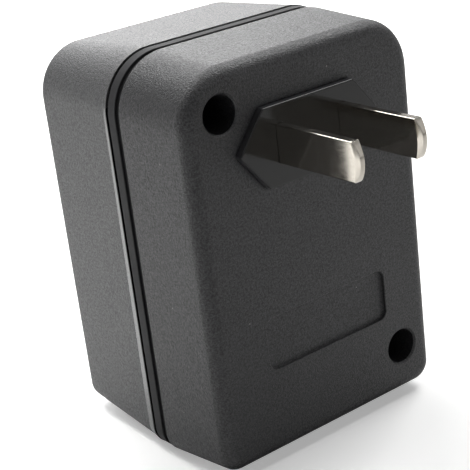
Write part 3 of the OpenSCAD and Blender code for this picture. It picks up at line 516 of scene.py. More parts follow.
# %% Bars, ribs and bosses
core_low, core_high = (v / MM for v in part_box("e_laminations"))
CORE_BOTTOM_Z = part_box("i_laminations")[0].z / MM
LIMB_W = core_high.x / 3
RIB_T = 1.6
STOP_FROM_TOP = 8.0
LEDGE_LAP = 5.0
FINGER_W = 3.0
PLATE_BOSSES = [(-15.0, 8.0), (15.0, -8.0)]
PLATE_BOSS_R, PILOT_R = 2.6, 0.88
PLATE_T = 2.0
BLOCK_BACK_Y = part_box("plug_block")[0].y / MM
PLATE_Y = BLOCK_BACK_Y - 2 * SEAT_GAP - PLATE_T


def bar(skin, start, end):
    """A closed bar with soft edges from one rectangle to another. Each end is given as y, x low, x high, z
    low and z high, and a row in between is the mix of the two."""
    rows = []
    for t, inset in ((0, 0.1), (0, 0), (1, 0), (1, 0.1)):
        y, x0, x1, z0, z1 = np.array(start) * (1 - t) + np.array(end) * t
        flat, look = round_polygon([(x1, z0), (x1, z1), (x0, z1), (x0, z0)], 0.15, steps=2)
        flat = flat - inset * look
        rows.append(np.column_stack([flat[:, 0], np.full(len(flat), y), flat[:, 1]]))
    first, last = skin.carry(rows)
    skin.fill(first)
    skin.fill(last)


def underside(y):
    """Height of the middle of the underside's wall."""
    return BOTTOM_Z + WALL / 2 + max(y - GROOVE_Y, RIM_Y - y, 0) * BOTTOM_LEAN


def core_holders(skin, root, stop, reach, finger_x):
    """A stop, a finger and a gusset on each side, and the ledge below. All grow from the depth root: the
    stops end against the core at the depth stop, and the others lie over and under it up to reach."""
    ledge = CORE_BOTTOM_Z - SEAT_GAP - RIB_T
    stop_low, stop_high = CORE_BOTTOM_Z + LIMB_W / 2, core_high.z - STOP_FROM_TOP
    over = core_high.z + SEAT_GAP
    for side in (-1, 1):
        x0, x1 = sorted((side * 2.5 * LIMB_W - RIB_T / 2, side * 2.5 * LIMB_W + RIB_T / 2))
        bar(skin, (root, x0, x1, stop_low, stop_high), (stop, x0, x1, stop_low, stop_high))
        x0, x1 = sorted((side * finger_x, side * (finger_x - FINGER_W)))
        bar(skin, (root, x0, x1, over, over + RIB_T), (reach, x0, x1, over, over + RIB_T))
        x0, x1 = side * LIMB_W - RIB_T / 2, side * LIMB_W + RIB_T / 2
        bar(skin, (root, x0, x1, underside(root), ledge), (reach, x0, x1, underside(reach), ledge))
    half = 3 * LIMB_W - RIB_T
    bar(skin, (root, -half, half, ledge, ledge + RIB_T), (reach, -half, half, ledge, ledge + RIB_T))


core_holders(rear, REAR_Y - WALL / 2, core_high.y + SEAT_GAP, core_high.y - LEDGE_LAP,
             HALF_W - WALL / 2 - (REAR_Y - GROOVE_Y) * SIDE_LEAN)
for x, z in PLATE_BOSSES:
    boss_ends = rear.carry(along_y(circle(x, z, PLATE_BOSS_R), round_profile([
        (REAR_Y - WALL / 2, 0), (PLATE_Y + SEAT_GAP, 0), (PLATE_Y + SEAT_GAP, PLATE_BOSS_R - PILOT_R),
        (REAR_INNER_Y, PLATE_BOSS_R - PILOT_R)], [0.15, 0.1])))
    rear.fill(boss_ends[0])
    rear.fill(boss_ends[1])
rear.mesh("rear_shell_skin", rear_plastic, "rear_shell")
print("core from", [round(v, 1) for v in core_low], "to", [round(v, 1) for v in core_high])

# %% [markdown]
# ## The front shell
# The deeper half is the same outline carried the other way. Near its rim the wall flares out a little more,
# which the photograph shows as a light strip: hardly there round the upper corner, and wider towards the
# bottom of each side. The strip's width is therefore worked out point by point from the height, and the
# flare fades away on the underside.

# %% The front shell's skin
SOCKET_L, SOCKET_FLAT, SOCKET_H = 30.0, 19.0, 13.0
BOSS_R = 3.1
BOSS_HOLE_R = 1.2
FLARE_TOP_W = 0.2
FLARE_SLOPE = 0.21
# each pair: the distance from the rim in widths of the strip, and the share of the flare's inset there
FLARE_ROWS = ((1.25, 1.0), (1.04, 1.0), (0.96, 0.97), (0.5, 0.5), (0.1, 0.1))
LIP_FADE = 1.2
FRONT_ARC_L = 6
BOSS_TOP_Y = WELL_END_Y - SEAT_GAP
BOSS_HOLE_L = 16

below_lip_top = LIP_TOP_Z - at_joint[:, 1]
on_side = np.clip(below_lip_top / LIP_FADE, 0, 1)
side_w = LIP_W[0] + (LIP_W[1] - LIP_W[0]) * np.clip(below_lip_top / LIP_RUN, 0, 1)
flare_w = FLARE_TOP_W * (1 - on_side) + side_w * on_side
on_underside = np.clip((corner_centres[3, 1] - at_joint[:, 1]) / BOTTOM_CORNER_R, 0, 1)
flare = FLARE_SLOPE * flare_w * (1 - on_underside)

front = Skin()
front_profile = round_profile([
    (FRONT_Y, FRONT_EDGE_R + 0.02), (FRONT_Y, 0), (FRONT_Y + FRONT_ARC_L, 0)], [FRONT_EDGE_R], steps=12)
lap_profile = round_profile([
    (RIM_Y, 0.9), (RIM_Y, WALL / 2), (RIM_Y - TONGUE_L - SEAT_GAP, WALL / 2),
    (RIM_Y - TONGUE_L - SEAT_GAP, WALL), (FRONT_INNER_Y, WALL), (FRONT_INNER_Y, WALL + 0.2),
], [0.15, 0.15, 0.15, 0.12])
rings = [housing_ring(y, inset) for y, inset in front_profile]
for below, share in FLARE_ROWS:
    rings.append(housing_ring(RIM_Y - below * flare_w, share * flare))
rings += [housing_ring(RIM_Y - 0.03, 0.03), housing_ring(RIM_Y, 0.1)]
rings += [housing_ring(y, inset) for y, inset in lap_profile]
outer_face, inner_face = front.carry(rings)

socket_window = round_polygon(six_sided(SOCKET_L, SOCKET_FLAT, SOCKET_H, FIT_GAP), WINDOW_CORNER_R)
socket_rings = front.carry(along_y(
    socket_window, through(FRONT_Y, FRONT_INNER_Y, (-0.4, -0.3), [0.25, 0.1])))
boss_profile = round_profile([
    (FRONT_INNER_Y, 0), (BOSS_TOP_Y, 0), (BOSS_TOP_Y, BOSS_R - BOSS_HOLE_R),
    (BOSS_TOP_Y - BOSS_HOLE_L, BOSS_R - BOSS_HOLE_R)], [0.3, 0.1])
bosses = [front.carry(along_y(circle(x, z, BOSS_R), boss_profile)) for x, z in WELL_PLACES]
for _, bottom in bosses:
    front.fill(bottom)
front.fill(outer_face, [socket_rings[0]])
front.fill(inner_face, [socket_rings[1], bosses[0][0], bosses[1][0]])
core_holders(front, FRONT_Y + WALL / 2, core_low.y - SEAT_GAP, core_low.y + LEDGE_LAP,
             HALF_W - WALL / 2 - (RIM_Y - FRONT_INNER_Y) * SIDE_LEAN)
front.mesh("front_shell_skin", front_plastic, "front_shell")

# %% [markdown]
# ## The plug block
# The block is a harder, glossy black plastic, polished in the mould because the outlet's face has to slide
# on it. It mirrors the blades and the table, so it needs flat faces and crisp edges rather than grain.
# A polished surface still has hairlines and a breath of unevenness, which show in its gloss. Its side walls
# rub on the tool as they leave it, so they are rougher than the face; their colour is painted lighter too.
# That lighter colour is painted light, which stands in for light that the walls would catch.

# %% The plug block's plastic
HAIRLINE_MM = 0.12
HAZE_MM = 3.0
PAINTED_WALL_FROM_Y = -0.15


def polished_black():
    material, tree, mm = new_material("polished_black_resin")
    along = add(tree, "VectorMath", operation="MULTIPLY", i0=mm, i1=(1.0, 1.0, 0.05))
    hairs = add(tree, "TexNoise", Vector=along, Scale=1 / HAIRLINE_MM, Detail=2.0)
    haze = add(tree, "TexNoise", Vector=mm, Scale=1 / HAZE_MM, Detail=2.0)
    across = add(tree, "SeparateXYZ", Vector=mm)
    painted_light_on_wall = add(tree, "Math", operation="LESS_THAN", i0=across.outputs["Y"], i1=PAINTED_WALL_FROM_Y)
    base = add(tree, "Mix", data_type="RGBA", Factor=haze, A=colour("#060607"), B=colour("#0d0d0e"))
    # painted light: the side walls' colour is lightened to stand in for light that reaches them
    base = add(tree, "Mix", data_type="RGBA", Factor=painted_light_on_wall, A=base, B=colour("#3e3e41"))
    rough = add(tree, "MapRange", Value=hairs, From_Min=0.35, From_Max=0.75, To_Min=0.05, To_Max=0.15)
    rough = add(tree, "Math", operation="MULTIPLY_ADD", i0=haze, i1=0.08, i2=rough)
    rough = add(tree, "Math", operation="MULTIPLY_ADD", i0=painted_light_on_wall, i1=0.3, i2=rough)
    bump = add(tree, "Bump", Strength=0.3, Distance=0.003 * MM, Height=hairs)
    shader = add(tree, "BsdfPrincipled", Base_Color=base, Roughness=rough, IOR=1.5, Normal=bump)
    add(tree, "OutputMaterial", Surface=shader)
    return material


block_plastic = polished_black()
print(block_plastic.name, "hairlines", HAIRLINE_MM, "mm")

# %% The plug block's skin
BLADE_SPACING, BLADE_W, BLADE_T = 12.7, 6.3, 1.5
FLANGE_Y = REAR_INNER_Y - SEAT_GAP
FLANGE_MARGIN = 1.2
BLADE_ROOM = 0.05
BLOCK_CORNER_R, SLOT_CORNER_R = 0.45, 0.25

block = Skin()
block_outline = round_polygon(six_sided(BLOCK_L, BLOCK_FLAT, BLOCK_H, 0, BLOCK_DROP), BLOCK_CORNER_R)
block_rings = block.carry(along_y(block_outline, round_profile([
    (0, 0.4), (0, 0), (FLANGE_Y, 0), (FLANGE_Y, -FLANGE_MARGIN), (BLOCK_BACK_Y, -FLANGE_MARGIN),
    (BLOCK_BACK_Y, 0)], [0.22, 0.2, 0.2, 0.2])))
slots = []
for side in (-1, 1):
    slot = round_polygon(rectangle(BLADE_T + 2 * BLADE_ROOM, BLADE_W + 2 * BLADE_ROOM, 0,
                                   side * BLADE_SPACING / 2), SLOT_CORNER_R)
    slots.append(block.carry(along_y(slot, through(0, BLOCK_BACK_Y, (-0.1, -0.1), [0.04, 0.04]))))
block.fill(block_rings[0], [s[0] for s in slots])
block.fill(block_rings[1], [s[1] for s in slots])
block.mesh("plug_block_skin", block_plastic, "plug_block")

# %% [markdown]
# ## The blades
# Each blade is a strip of brass, drawn flat, cut with a round nose, bevelled on both sides so that it finds
# its slot, and plated with nickel. Its surface is a section carried along the length. In the nose each row
# of points lies between two arcs, the end of the flat sides and the rim, and the bevel thins it on the way.

# %% The nickel plate
DRAW_LINE_MM = 0.09
STAIN_MM = 1.6


def nickel_plate():
    material, tree, mm = new_material("nickel_plate")
    along = add(tree, "VectorMath", operation="MULTIPLY", i0=mm, i1=(1.0, 0.04, 1.0))
    lines = add(tree, "TexNoise", Vector=along, Scale=1 / DRAW_LINE_MM, Detail=3.0)
    stain = add(tree, "TexNoise", Vector=mm, Scale=1 / STAIN_MM, Detail=4.0)
    base = add(tree, "Mix", data_type="RGBA", Factor=stain, A=colour("#b3aca1"), B=colour("#d2cdc4"))
    rough = add(tree, "MapRange", Value=lines, **NOISE_SPAN, To_Min=0.06, To_Max=0.14)
    rough = add(tree, "Math", operation="MULTIPLY_ADD", i0=stain, i1=0.05, i2=rough)
    bump = add(tree, "Bump", Strength=0.5, Distance=0.0016 * MM, Height=lines)
    shader = add(tree, "BsdfPrincipled", Base_Color=base, Metallic=1.0, Roughness=rough, Normal=bump)
    add(tree, "OutputMaterial", Surface=shader)
    return material


plated = nickel_plate()
print(plated.name, "drawing lines", DRAW_LINE_MM, "mm")

# %% The blades' surface
TIP_R = 4.3
FLAT_END_R = 9.0
TIP_EDGE_T = 0.7
TIP_BEVEL, LEAST_BEVEL = 0.9, 0.15
TIP_ROWS = (-0.25, -0.04, 0.06, 0.3, 0.5, 0.7, 0.88, 0.97, 1)
RIM_SHARE, RIM_THINNING = 0.03, 0.14
EDGE_R = 0.2
SHOULDER_W, SHOULDER_L, TAIL_W = 9.0, 2.0, 4.4
STEP_L = 0.01
TIP_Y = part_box("blade_left")[1].y / MM
TAIL_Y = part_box("blade_left")[0].y / MM
SHOULDER_Y = BLOCK_BACK_Y - SEAT_GAP


def blade_rows(x):
    """A section with round edges, carried along Y. Up to the tip its rows are straight. In the tip a row lies
    a share s of the way between two arcs: the end of the flat sides, on a large radius, and the rim, on the
    nose's radius. The bevel takes off thickness in step with the distance from the first arc, and the last
    share takes off a little more, which rounds the rim."""
    half_t, half_w = BLADE_T / 2, BLADE_W / 2
    centres = np.array([1, -1, -1, 1])[:, None] * [half_t - EDGE_R, 0]
    centres[:, 1] = np.array([1, 1, -1, -1]) * (half_w - EDGE_R)
    section = corner_outline(centres, np.full(4, EDGE_R))[0]
    neck_y = SHOULDER_Y - SHOULDER_L
    straight = [(TAIL_Y, TAIL_W), (neck_y - STEP_L, TAIL_W), (neck_y, SHOULDER_W),
                (SHOULDER_Y - STEP_L, SHOULDER_W), (SHOULDER_Y, BLADE_W), (0.5, BLADE_W),
                (TIP_Y - TIP_R, BLADE_W)]
    rows = [np.column_stack([section[:, 0], np.full(len(section), y), section[:, 1] * w / BLADE_W])
            for y, w in straight]
    rim = TIP_Y - TIP_R + np.sqrt(TIP_R**2 - section[:, 1]**2)
    flat_end = TIP_Y - TIP_BEVEL - FLAT_END_R + np.sqrt(FLAT_END_R**2 - section[:, 1]**2)
    flat_end = np.minimum(flat_end, rim - LEAST_BEVEL)
    for s in TIP_ROWS:
        y = flat_end + s * (rim - flat_end)
        thickness = BLADE_T - (BLADE_T - TIP_EDGE_T) * np.clip((y - flat_end) / TIP_BEVEL, 0, 1)
        thickness -= RIM_THINNING * max(s - (1 - RIM_SHARE), 0) / RIM_SHARE
        rows.append(np.column_stack([section[:, 0] * thickness / BLADE_T, y, section[:, 1]]))
    return [r + [x, 0, 0] for r in rows]


def rim_faces(ring):
    """Closes the nose with a strip between the two sides of its last row: each point of one side is joined to
    its mirror image, whose number and its own add up to the same sum."""
    count = len(ring)
    total = 2 * ARC_STEPS + 1 + SIDE_STEPS
    quarter = ARC_STEPS + 1 + SIDE_STEPS
    right = np.arange(-SIDE_STEPS - ARC_STEPS - 1, ARC_STEPS + 1)
    left = total - right
    quads = np.column_stack([right[:-1], right[1:], left[1:], left[:-1]]) % count
    top = np.arange(ARC_STEPS, quarter + 1)
    bottom = np.arange(total - right[0], total - right[0] + SIDE_STEPS + 2)
    return [ring[q].tolist() for q in quads] + [ring[top % count].tolist(), ring[bottom % count].tolist()]


for name, side in (("blade_left", 1), ("blade_right", -1)):
    blade = Skin()
    tail, rim = blade.carry(blade_rows(side * BLADE_SPACING / 2))
    blade.fill(tail)
    blade.faces += rim_faces(rim)
    blade.mesh(name + "_skin", plated, name)

# %% [markdown]
# ## The socket in front
# The photograph doesn't show the front. A converter of this kind has a socket there, for a plug with two
# round pins. The insert is satin black PBT, whose fine grain softens the highlight. It has a flange behind
# the window, an ear at each end for its screws, a guide round each spring sleeve and a post between them.

# %% The socket's plastic
SATIN_GRAIN_MM = 0.25
FLOW_MM = 6.0


def two_tone_finish(tree, tones, dark, light, relief, height_mm, rough, **values):
    """The last steps of a plain finish. The pattern tones mixes two colours, and the pattern relief lifts the
    surface by up to height_mm. The roughness and any other value go to the shader as they are."""
    base = add(tree, "Mix", data_type="RGBA", Factor=tones, A=colour(dark), B=colour(light))
    bump = add(tree, "Bump", Distance=height_mm * MM, Height=relief)
    shader = add(tree, "BsdfPrincipled", Base_Color=base, Roughness=rough, Normal=bump, **values)
    add(tree, "OutputMaterial", Surface=shader)


def satin_black():
    material, tree, mm = new_material("satin_black_pbt")
    grain = add(tree, "TexNoise", Vector=mm, Scale=1 / SATIN_GRAIN_MM, Detail=2.0)
    flow = add(tree, "TexNoise", Vector=mm, Scale=1 / FLOW_MM, Detail=2.0)
    rough = add(tree, "MapRange", Value=grain, **NOISE_SPAN, To_Min=0.28, To_Max=0.4)
    two_tone_finish(tree, flow, "#101011", "#1a1a1c", grain, 0.012, rough, IOR=1.55)
    return material


# %% The socket's skin
PIN_SPACING, PIN_HOLE_R, PIN_LEAD_IN = 19.0, 2.4, 0.45
GUIDE_R, SLEEVE_ROOM_R = 4.0, 3.05
EAR_X, EAR_R, EAR_HOLE_R = 17.4, 2.3, 1.27
EAR_FROM_X, EAR_CORNERS_R = 13, [2.29, 2.29, 0.2, 0.2]
POST_R, POST_HOLE_L = 2.6, 6
SOCKET_FLANGE_T, SOCKET_FLANGE_MARGIN = 1.8, 0.6
GUIDE_L, PIN_HOLE_L = 3.6, 3.0
SOCKET_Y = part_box("socket_face")[0].y / MM
POST_END_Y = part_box("socket_face")[1].y / MM
SOCKET_FLANGE_Y = FRONT_INNER_Y + SEAT_GAP
SOCKET_BACK_Y = SOCKET_FLANGE_Y + SOCKET_FLANGE_T
GUIDE_END_Y = SOCKET_BACK_Y + GUIDE_L
SLEEVE_SEAT_Y = SOCKET_Y + PIN_HOLE_L

socket = Skin()
socket_outline = round_polygon(six_sided(SOCKET_L, SOCKET_FLAT, SOCKET_H), WINDOW_CORNER_R)
socket_edge = socket.carry(along_y(socket_outline, round_profile([
    (SOCKET_Y, 0.44), (SOCKET_Y, 0), (SOCKET_FLANGE_Y, 0), (SOCKET_FLANGE_Y, -SOCKET_FLANGE_MARGIN),
    (SOCKET_BACK_Y, -SOCKET_FLANGE_MARGIN), (SOCKET_BACK_Y, -0.1)], [0.3, 0.1, 0.1, 0.1])))
pin_profile = round_profile([
    (SOCKET_Y, -PIN_LEAD_IN - 0.15), (SOCKET_Y, -PIN_LEAD_IN), (SOCKET_Y + PIN_LEAD_IN, 0),
    (SLEEVE_SEAT_Y, 0), (SLEEVE_SEAT_Y, PIN_HOLE_R - SLEEVE_ROOM_R),
    (GUIDE_END_Y, PIN_HOLE_R - SLEEVE_ROOM_R), (GUIDE_END_Y, PIN_HOLE_R - GUIDE_R),
    (SOCKET_BACK_Y, PIN_HOLE_R - GUIDE_R)], [0.1] * 6)
pin_rings = [socket.carry(along_y(circle(side * PIN_SPACING / 2, 0, PIN_HOLE_R), pin_profile))
             for side in (-1, 1)]
post_foot, post_bottom = socket.carry(along_y(circle(0, 0, POST_R), round_profile([
    (SOCKET_BACK_Y, 0), (POST_END_Y, 0), (POST_END_Y, POST_R - PILOT_R),
    (POST_END_Y - POST_HOLE_L, POST_R - PILOT_R)], [0.15, 0.1])))
socket.fill(post_bottom)
socket.fill(socket_edge[0], [ring[0] for ring in pin_rings])
socket.fill(socket_edge[1], [pin_rings[0][1], post_foot, pin_rings[1][1]])
for side in (-1, 1):
    ear = round_polygon(rectangle(EAR_X + EAR_R - EAR_FROM_X, 2 * EAR_R, 0,
                                  (EAR_X + EAR_R + EAR_FROM_X) / 2), EAR_CORNERS_R)
    ear = (ear[0] * [side, 1], ear[1] * [side, 1])
    edge = socket.carry(along_y(
        ear, through(SOCKET_FLANGE_Y, SOCKET_BACK_Y, (0.15, 0.15), [0.1, 0.1])))
    hole = socket.carry(along_y(
        circle(side * EAR_X, 0, EAR_HOLE_R, 24),
        through(SOCKET_FLANGE_Y, SOCKET_BACK_Y, (-0.15, -0.15), [0.1, 0.1])))
    socket.fill(edge[0], [hole[0]])
    socket.fill(edge[1], [hole[1]])
socket.mesh("socket_face_skin", satin_black(), "socket_face")

# %% [markdown]
# ## The screws
# The case screws lie at the bottom of the wells. They are blackened steel: the oxide is a thin matt skin on a
# metal, so it is metallic but dark. The small screws inside are zinc plated, which leaves a bright surface
# with pale crystals about 0.4 mm wide.

# %% Screw metals
OXIDE_MM = 0.5
CRYSTAL_MM = 0.4


def blackened_steel():
    material, tree, mm = new_material("blackened_steel")
    oxide = add(tree, "TexNoise", Vector=mm, Scale=1 / OXIDE_MM, Detail=4.0)
    rough = add(tree, "MapRange", Value=oxide, **NOISE_SPAN, To_Min=0.3, To_Max=0.5)
    two_tone_finish(tree, oxide, "#17171a", "#34343a", oxide, 0.01, rough, Metallic=1.0)
    return material


def zinc_plate():
    material, tree, mm = new_material("zinc_plated_steel")
    crystal = add(tree, "TexVoronoi", Vector=mm, Scale=1 / CRYSTAL_MM)
    shade = add(tree, "SeparateColor", Color=crystal.outputs["Color"])
    base = add(tree, "Mix", data_type="RGBA", Factor=shade, A=colour("#a3a6ab"), B=colour("#c6c9cc"))
    rough = add(tree, "MapRange", Value=shade, To_Min=0.22, To_Max=0.36)
    shader = add(tree, "BsdfPrincipled", Base_Color=base, Metallic=1.0, Roughness=rough)
    add(tree, "OutputMaterial", Surface=shader)
    return material


finish_of = {"case_screws": blackened_steel()}
finish_of.update(dict.fromkeys(("plug_plate_screws", "socket_screws", "contact_plate_screw"), zinc_plate()))
print("screws:", sorted(finish_of))

# %% [markdown]
# ## Contacts and their plates
# The contacts are spring brass, rolled along their length, which leaves fine lines that way and a spread-out
# highlight. The plates are vulcanised fibre, a brown board of pressed paper whose fibres lie in the plane of
# the sheet, here across the depth.

# %% Brass and fibre
ROLL_LINE_MM = 0.1
TARNISH_MM = 2.5
FIBRE_MM = 0.4


def spring_brass():
    material, tree, mm = new_material("rolled_spring_brass")
    along = add(tree, "VectorMath", operation="MULTIPLY", i0=mm, i1=(1.0, 0.05, 1.0))
    lines = add(tree, "TexNoise", Vector=along, Scale=1 / ROLL_LINE_MM, Detail=2.0)
    tarnish = add(tree, "TexNoise", Vector=mm, Scale=1 / TARNISH_MM, Detail=4.0)
    rough = add(tree, "MapRange", Value=lines, **NOISE_SPAN, To_Min=0.22, To_Max=0.36)
    two_tone_finish(tree, tarnish, "#a98443", "#d3b067", lines, 0.004, rough, Metallic=1.0)
    return material


def vulcanised_fibre():
    material, tree, mm = new_material("vulcanised_fibre_board")
    lying = add(tree, "VectorMath", operation="MULTIPLY", i0=mm, i1=(0.25, 2.0, 1.0))
    fibres = add(tree, "TexNoise", Vector=lying, Scale=1 / FIBRE_MM, Detail=4.0, Distortion=0.6)
    rough = add(tree, "MapRange", Value=fibres, To_Min=0.55, To_Max=0.75)
    two_tone_finish(tree, fibres, "#59381d", "#8f6a43", fibres, 0.015, rough)
    return material


finish_of.update(dict.fromkeys(("contact_left", "contact_right"), spring_brass()))
finish_of.update(dict.fromkeys(("plug_plate", "contact_plate"), vulcanised_fibre()))
print("nodes with a finish:", len(finish_of))

# %% [markdown]
# ## The transformer
# The core is a pile of thin silicon-steel sheets, stacked along the depth and varnished. Each is 0.5 mm
# thick, and a dark line of varnish parts it from the next. The windings are enamelled copper wire: its turns
# run round the limb, so their ridges stack upwards, and painted shade darkens the troughs between them.

# %% Steel sheets and copper turns
SHEET_MM = 0.5
WIRE_MM = 0.35
RUST_MM = 3.0
AGE_MM = 2.0
WAVE_PERIOD = math.pi / 10


def varnished_sheets():
    material, tree, mm = new_material("varnished_silicon_steel")
    pile = add(tree, "TexWave", bands_direction="Y", Vector=mm, Scale=WAVE_PERIOD / SHEET_MM, Distortion=0.3)
    rust = add(tree, "TexNoise", Vector=mm, Scale=1 / RUST_MM, Detail=5.0)
    steel = add(tree, "Mix", data_type="RGBA", Factor=rust, A=colour("#55565c"), B=colour("#7d7c7a"))
    seam = add(tree, "MapRange", Value=pile, From_Min=0.0, From_Max=0.25, To_Min=0.25, To_Max=1.0)
    base = add(tree, "Mix", data_type="RGBA", Factor=seam, A=colour("#1c1612"), B=steel)
    bump = add(tree, "Bump", Distance=0.05 * MM, Height=seam)
    rough = add(tree, "MapRange", Value=rust, To_Min=0.3, To_Max=0.5)
    shader = add(tree, "BsdfPrincipled", Base_Color=base, Metallic=0.8, Roughness=rough, Normal=bump)
    add(tree, "OutputMaterial", Surface=shader)
    return material


def enamelled_copper():
    material, tree, mm = new_material("enamelled_copper_wire")
    turns = add(tree, "TexWave", bands_direction="Z", Vector=mm, Scale=WAVE_PERIOD / WIRE_MM, Distortion=0.6)
    age = add(tree, "TexNoise", Vector=mm, Scale=1 / AGE_MM, Detail=3.0)
    metal = add(tree, "Mix", data_type="RGBA", Factor=age, A=colour("#8e3f1c"), B=colour("#bb6633"))
    # painted shade: the troughs between the turns are darkened towards a deep brown
    base = add(tree, "Mix", data_type="RGBA", Factor=turns, A=colour("#3a160a"), B=metal)
    bump = add(tree, "Bump", Distance=0.12 * MM, Height=turns)
    rough = add(tree, "MapRange", Value=age, To_Min=0.22, To_Max=0.38)
    shader = add(tree, "BsdfPrincipled", Base_Color=base, Metallic=0.9, Roughness=rough, Normal=bump)
    add(tree, "OutputMaterial", Surface=shader)
    return material


finish_of.update(dict.fromkeys(("e_laminations", "i_laminations"), varnished_sheets()))
finish_of.update(dict.fromkeys(("primary_winding", "secondary_winding"), enamelled_copper()))
print("sheets of", SHEET_MM, "mm, wire of", WIRE_MM, "mm")

# %% [markdown]
# ## What wraps and carries the wire
# Yellow polyester tape is pulled tight round each winding, so its wrinkles run round it as well. The former
# is nylon filled with short glass fibres: cream, and streaked the way it flowed into the mould. The sleeve
# over the fuse is woven from glass yarn, and its weave stands at 45 degrees. Pins and fuse are tin plated, a
# soft pale metal with a cloudy bloom.

# %% Tape, former, sleeve and tin
WRINKLE_MM = 0.8
STRAND_MM = 0.3
YARN_MM = 0.4
BLOOM_MM = 0.6


def polyester_tape():
    material, tree, mm = new_material("polyester_tape")
    pulled = add(tree, "VectorMath", operation="MULTIPLY", i0=mm, i1=(0.3, 0.3, 1.0))
    wrinkle = add(tree, "TexNoise", Vector=pulled, Scale=1 / WRINKLE_MM, Detail=3.0)
    rough = add(tree, "MapRange", Value=wrinkle, To_Min=0.18, To_Max=0.36)
    two_tone_finish(tree, wrinkle, "#c1931c", "#e0ba3e", wrinkle, 0.03, rough, IOR=1.6)
    return material


def filled_nylon():
    material, tree, mm = new_material("glass_filled_nylon")
    flow = add(tree, "VectorMath", operation="MULTIPLY", i0=mm, i1=(1.0, 1.0, 0.2))
    strands = add(tree, "TexNoise", Vector=flow, Scale=1 / STRAND_MM, Detail=3.0)
    rough = add(tree, "MapRange", Value=strands, To_Min=0.38, To_Max=0.52)
    two_tone_finish(tree, strands, "#cabf9f", "#e2dac0", strands, 0.01, rough, IOR=1.53)
    return material


def woven_glass():
    material, tree, mm = new_material("woven_glass_sleeve")
    turned = add(tree, "Mapping", Vector=mm, Rotation=(math.radians(45), 0.0, math.radians(45)))
    warp = add(tree, "TexWave", bands_direction="X", Vector=turned, Scale=WAVE_PERIOD / YARN_MM)
    weft = add(tree, "TexWave", bands_direction="Y", Vector=turned, Scale=WAVE_PERIOD / YARN_MM)
    weave = add(tree, "Math", operation="MULTIPLY", i0=warp, i1=weft)
    two_tone_finish(tree, weave, "#bdb8a4", "#ebe8dc", weave, 0.06, 0.7)
    return material


def tin_plate():
    material, tree, mm = new_material("tinned_copper_wire")
    bloom = add(tree, "TexNoise", Vector=mm, Scale=1 / BLOOM_MM, Detail=4.0)
    rough = add(tree, "MapRange", Value=bloom, To_Min=0.2, To_Max=0.4)
    two_tone_finish(tree, bloom, "#a9a8a3", "#d0cfca", bloom, 0.01, rough, Metallic=1.0)
    return material


finish_of.update(dict.fromkeys(("primary_tape", "secondary_tape"), polyester_tape()))
finish_of.update(dict.fromkeys(("terminal_pins", "thermal_fuse"), tin_plate()))
finish_of.update({"bobbin": filled_nylon(), "fuse_sleeve": woven_glass()})
print("nodes with a finish:", len(finish_of))

# %% [markdown]
# ## The leads
# The leads are stranded wire in soft PVC, which is glossy and slightly uneven where the strands press
# through. The five leads share one recipe, and only the pigment differs.

# %% Lead insulation
PRESSED_MM = 0.7


def soft_pvc(name, dark, light):
    """The insulation in one colour, given by the two shades that the strands leave in it."""
    material, tree, mm = new_material("pvc_insulation_" + name)
    strands = add(tree, "TexNoise", Vector=mm, Scale=1 / PRESSED_MM, Detail=2.0)
    rough = add(tree, "MapRange", Value=strands, To_Min=0.25, To_Max=0.4)
    two_tone_finish(tree, strands, dark, light, strands, 0.03, rough, IOR=1.53)
    return material


finish_of["live_lead"] = soft_pvc("black", "#131314", "#1f1f21")
finish_of["fused_lead"] = soft_pvc("red", "#9c1712", "#b8241d")
finish_of["neutral_lead"] = soft_pvc("white", "#d9d8d2", "#e8e7e2")
yellow_pvc = soft_pvc("yellow", "#c79513", "#dcae2c")
finish_of.update(dict.fromkeys(("output_lead_left", "output_lead_right"), yellow_pvc))

for name, finish in finish_of.items():
    nodes[name].data.materials.clear()
    nodes[name].data.materials.append(finish)
print("solids that keep their shape and get a finish:", len(finish_of))

# %% [markdown]
# ## Floor, light and camera
# The photograph was taken from above and to one side, with the light behind the object: the top glares, the
# side mirrors the white table, and the face with the plug stays dark. So the big lamps stand behind, to the
# right and to the left, with a weak card in front. Small narrow lamps light the table just where the side
# and the blades mirror it. The table and the sky are white to the camera alone, so the shadow stays, and a
# mirrored ray sees a grey sky, which gives the metal something pale to mirror.

# %% Floor
REACH = 1.6
PAPER_MM = 40.0
# to the camera the floor shines by the second number up to the first distance, and fully past the last
SHADOW_MM, SHADOW_LIFT, WHITE_MM = 150.0, 0.36, 500.0
floor_z = cad_low.z
floor_mesh = bpy.data.meshes.new("floor")
floor_mesh.from_pydata([(-REACH, -REACH, floor_z), (REACH, -REACH, floor_z), (REACH, REACH, floor_z),
                        (-REACH, REACH, floor_z)], [], [(0, 1, 2, 3)])
floor = bpy.data.objects.new("floor", floor_mesh)
bpy.context.scene.collection.objects.link(floor)
material, tree, mm = new_material("white_table")
paper = add(tree, "TexNoise", Vector=mm, Scale=1 / PAPER_MM, Detail=3.0)
base = add(tree, "Mix", data_type="RGBA", Factor=paper, A=colour("#f2f2f1"), B=colour("#f6f6f5"))
shader = add(tree, "BsdfPrincipled", Base_Color=base, Roughness=0.7)
path = add(tree, "LightPath")
away = add(tree, "VectorMath", operation="LENGTH", i0=mm).outputs["Value"]
lift = add(tree, "MapRange", Value=away, From_Min=SHADOW_MM, From_Max=WHITE_MM,
           To_Min=SHADOW_LIFT, To_Max=1.0)
lift = add(tree, "Math", operation="MULTIPLY", i0=lift, i1=path.outputs["Is Camera Ray"])
lift = add(tree, "Emission", Color=colour("#ffffff"), Strength=lift)
white = add(tree, "AddShader", i0=shader, i1=lift)
add(tree, "OutputMaterial", Surface=white)
floor_mesh.materials.append(material)
print("floor at", round(floor_z / MM, 1), "mm")

# %% Lamps


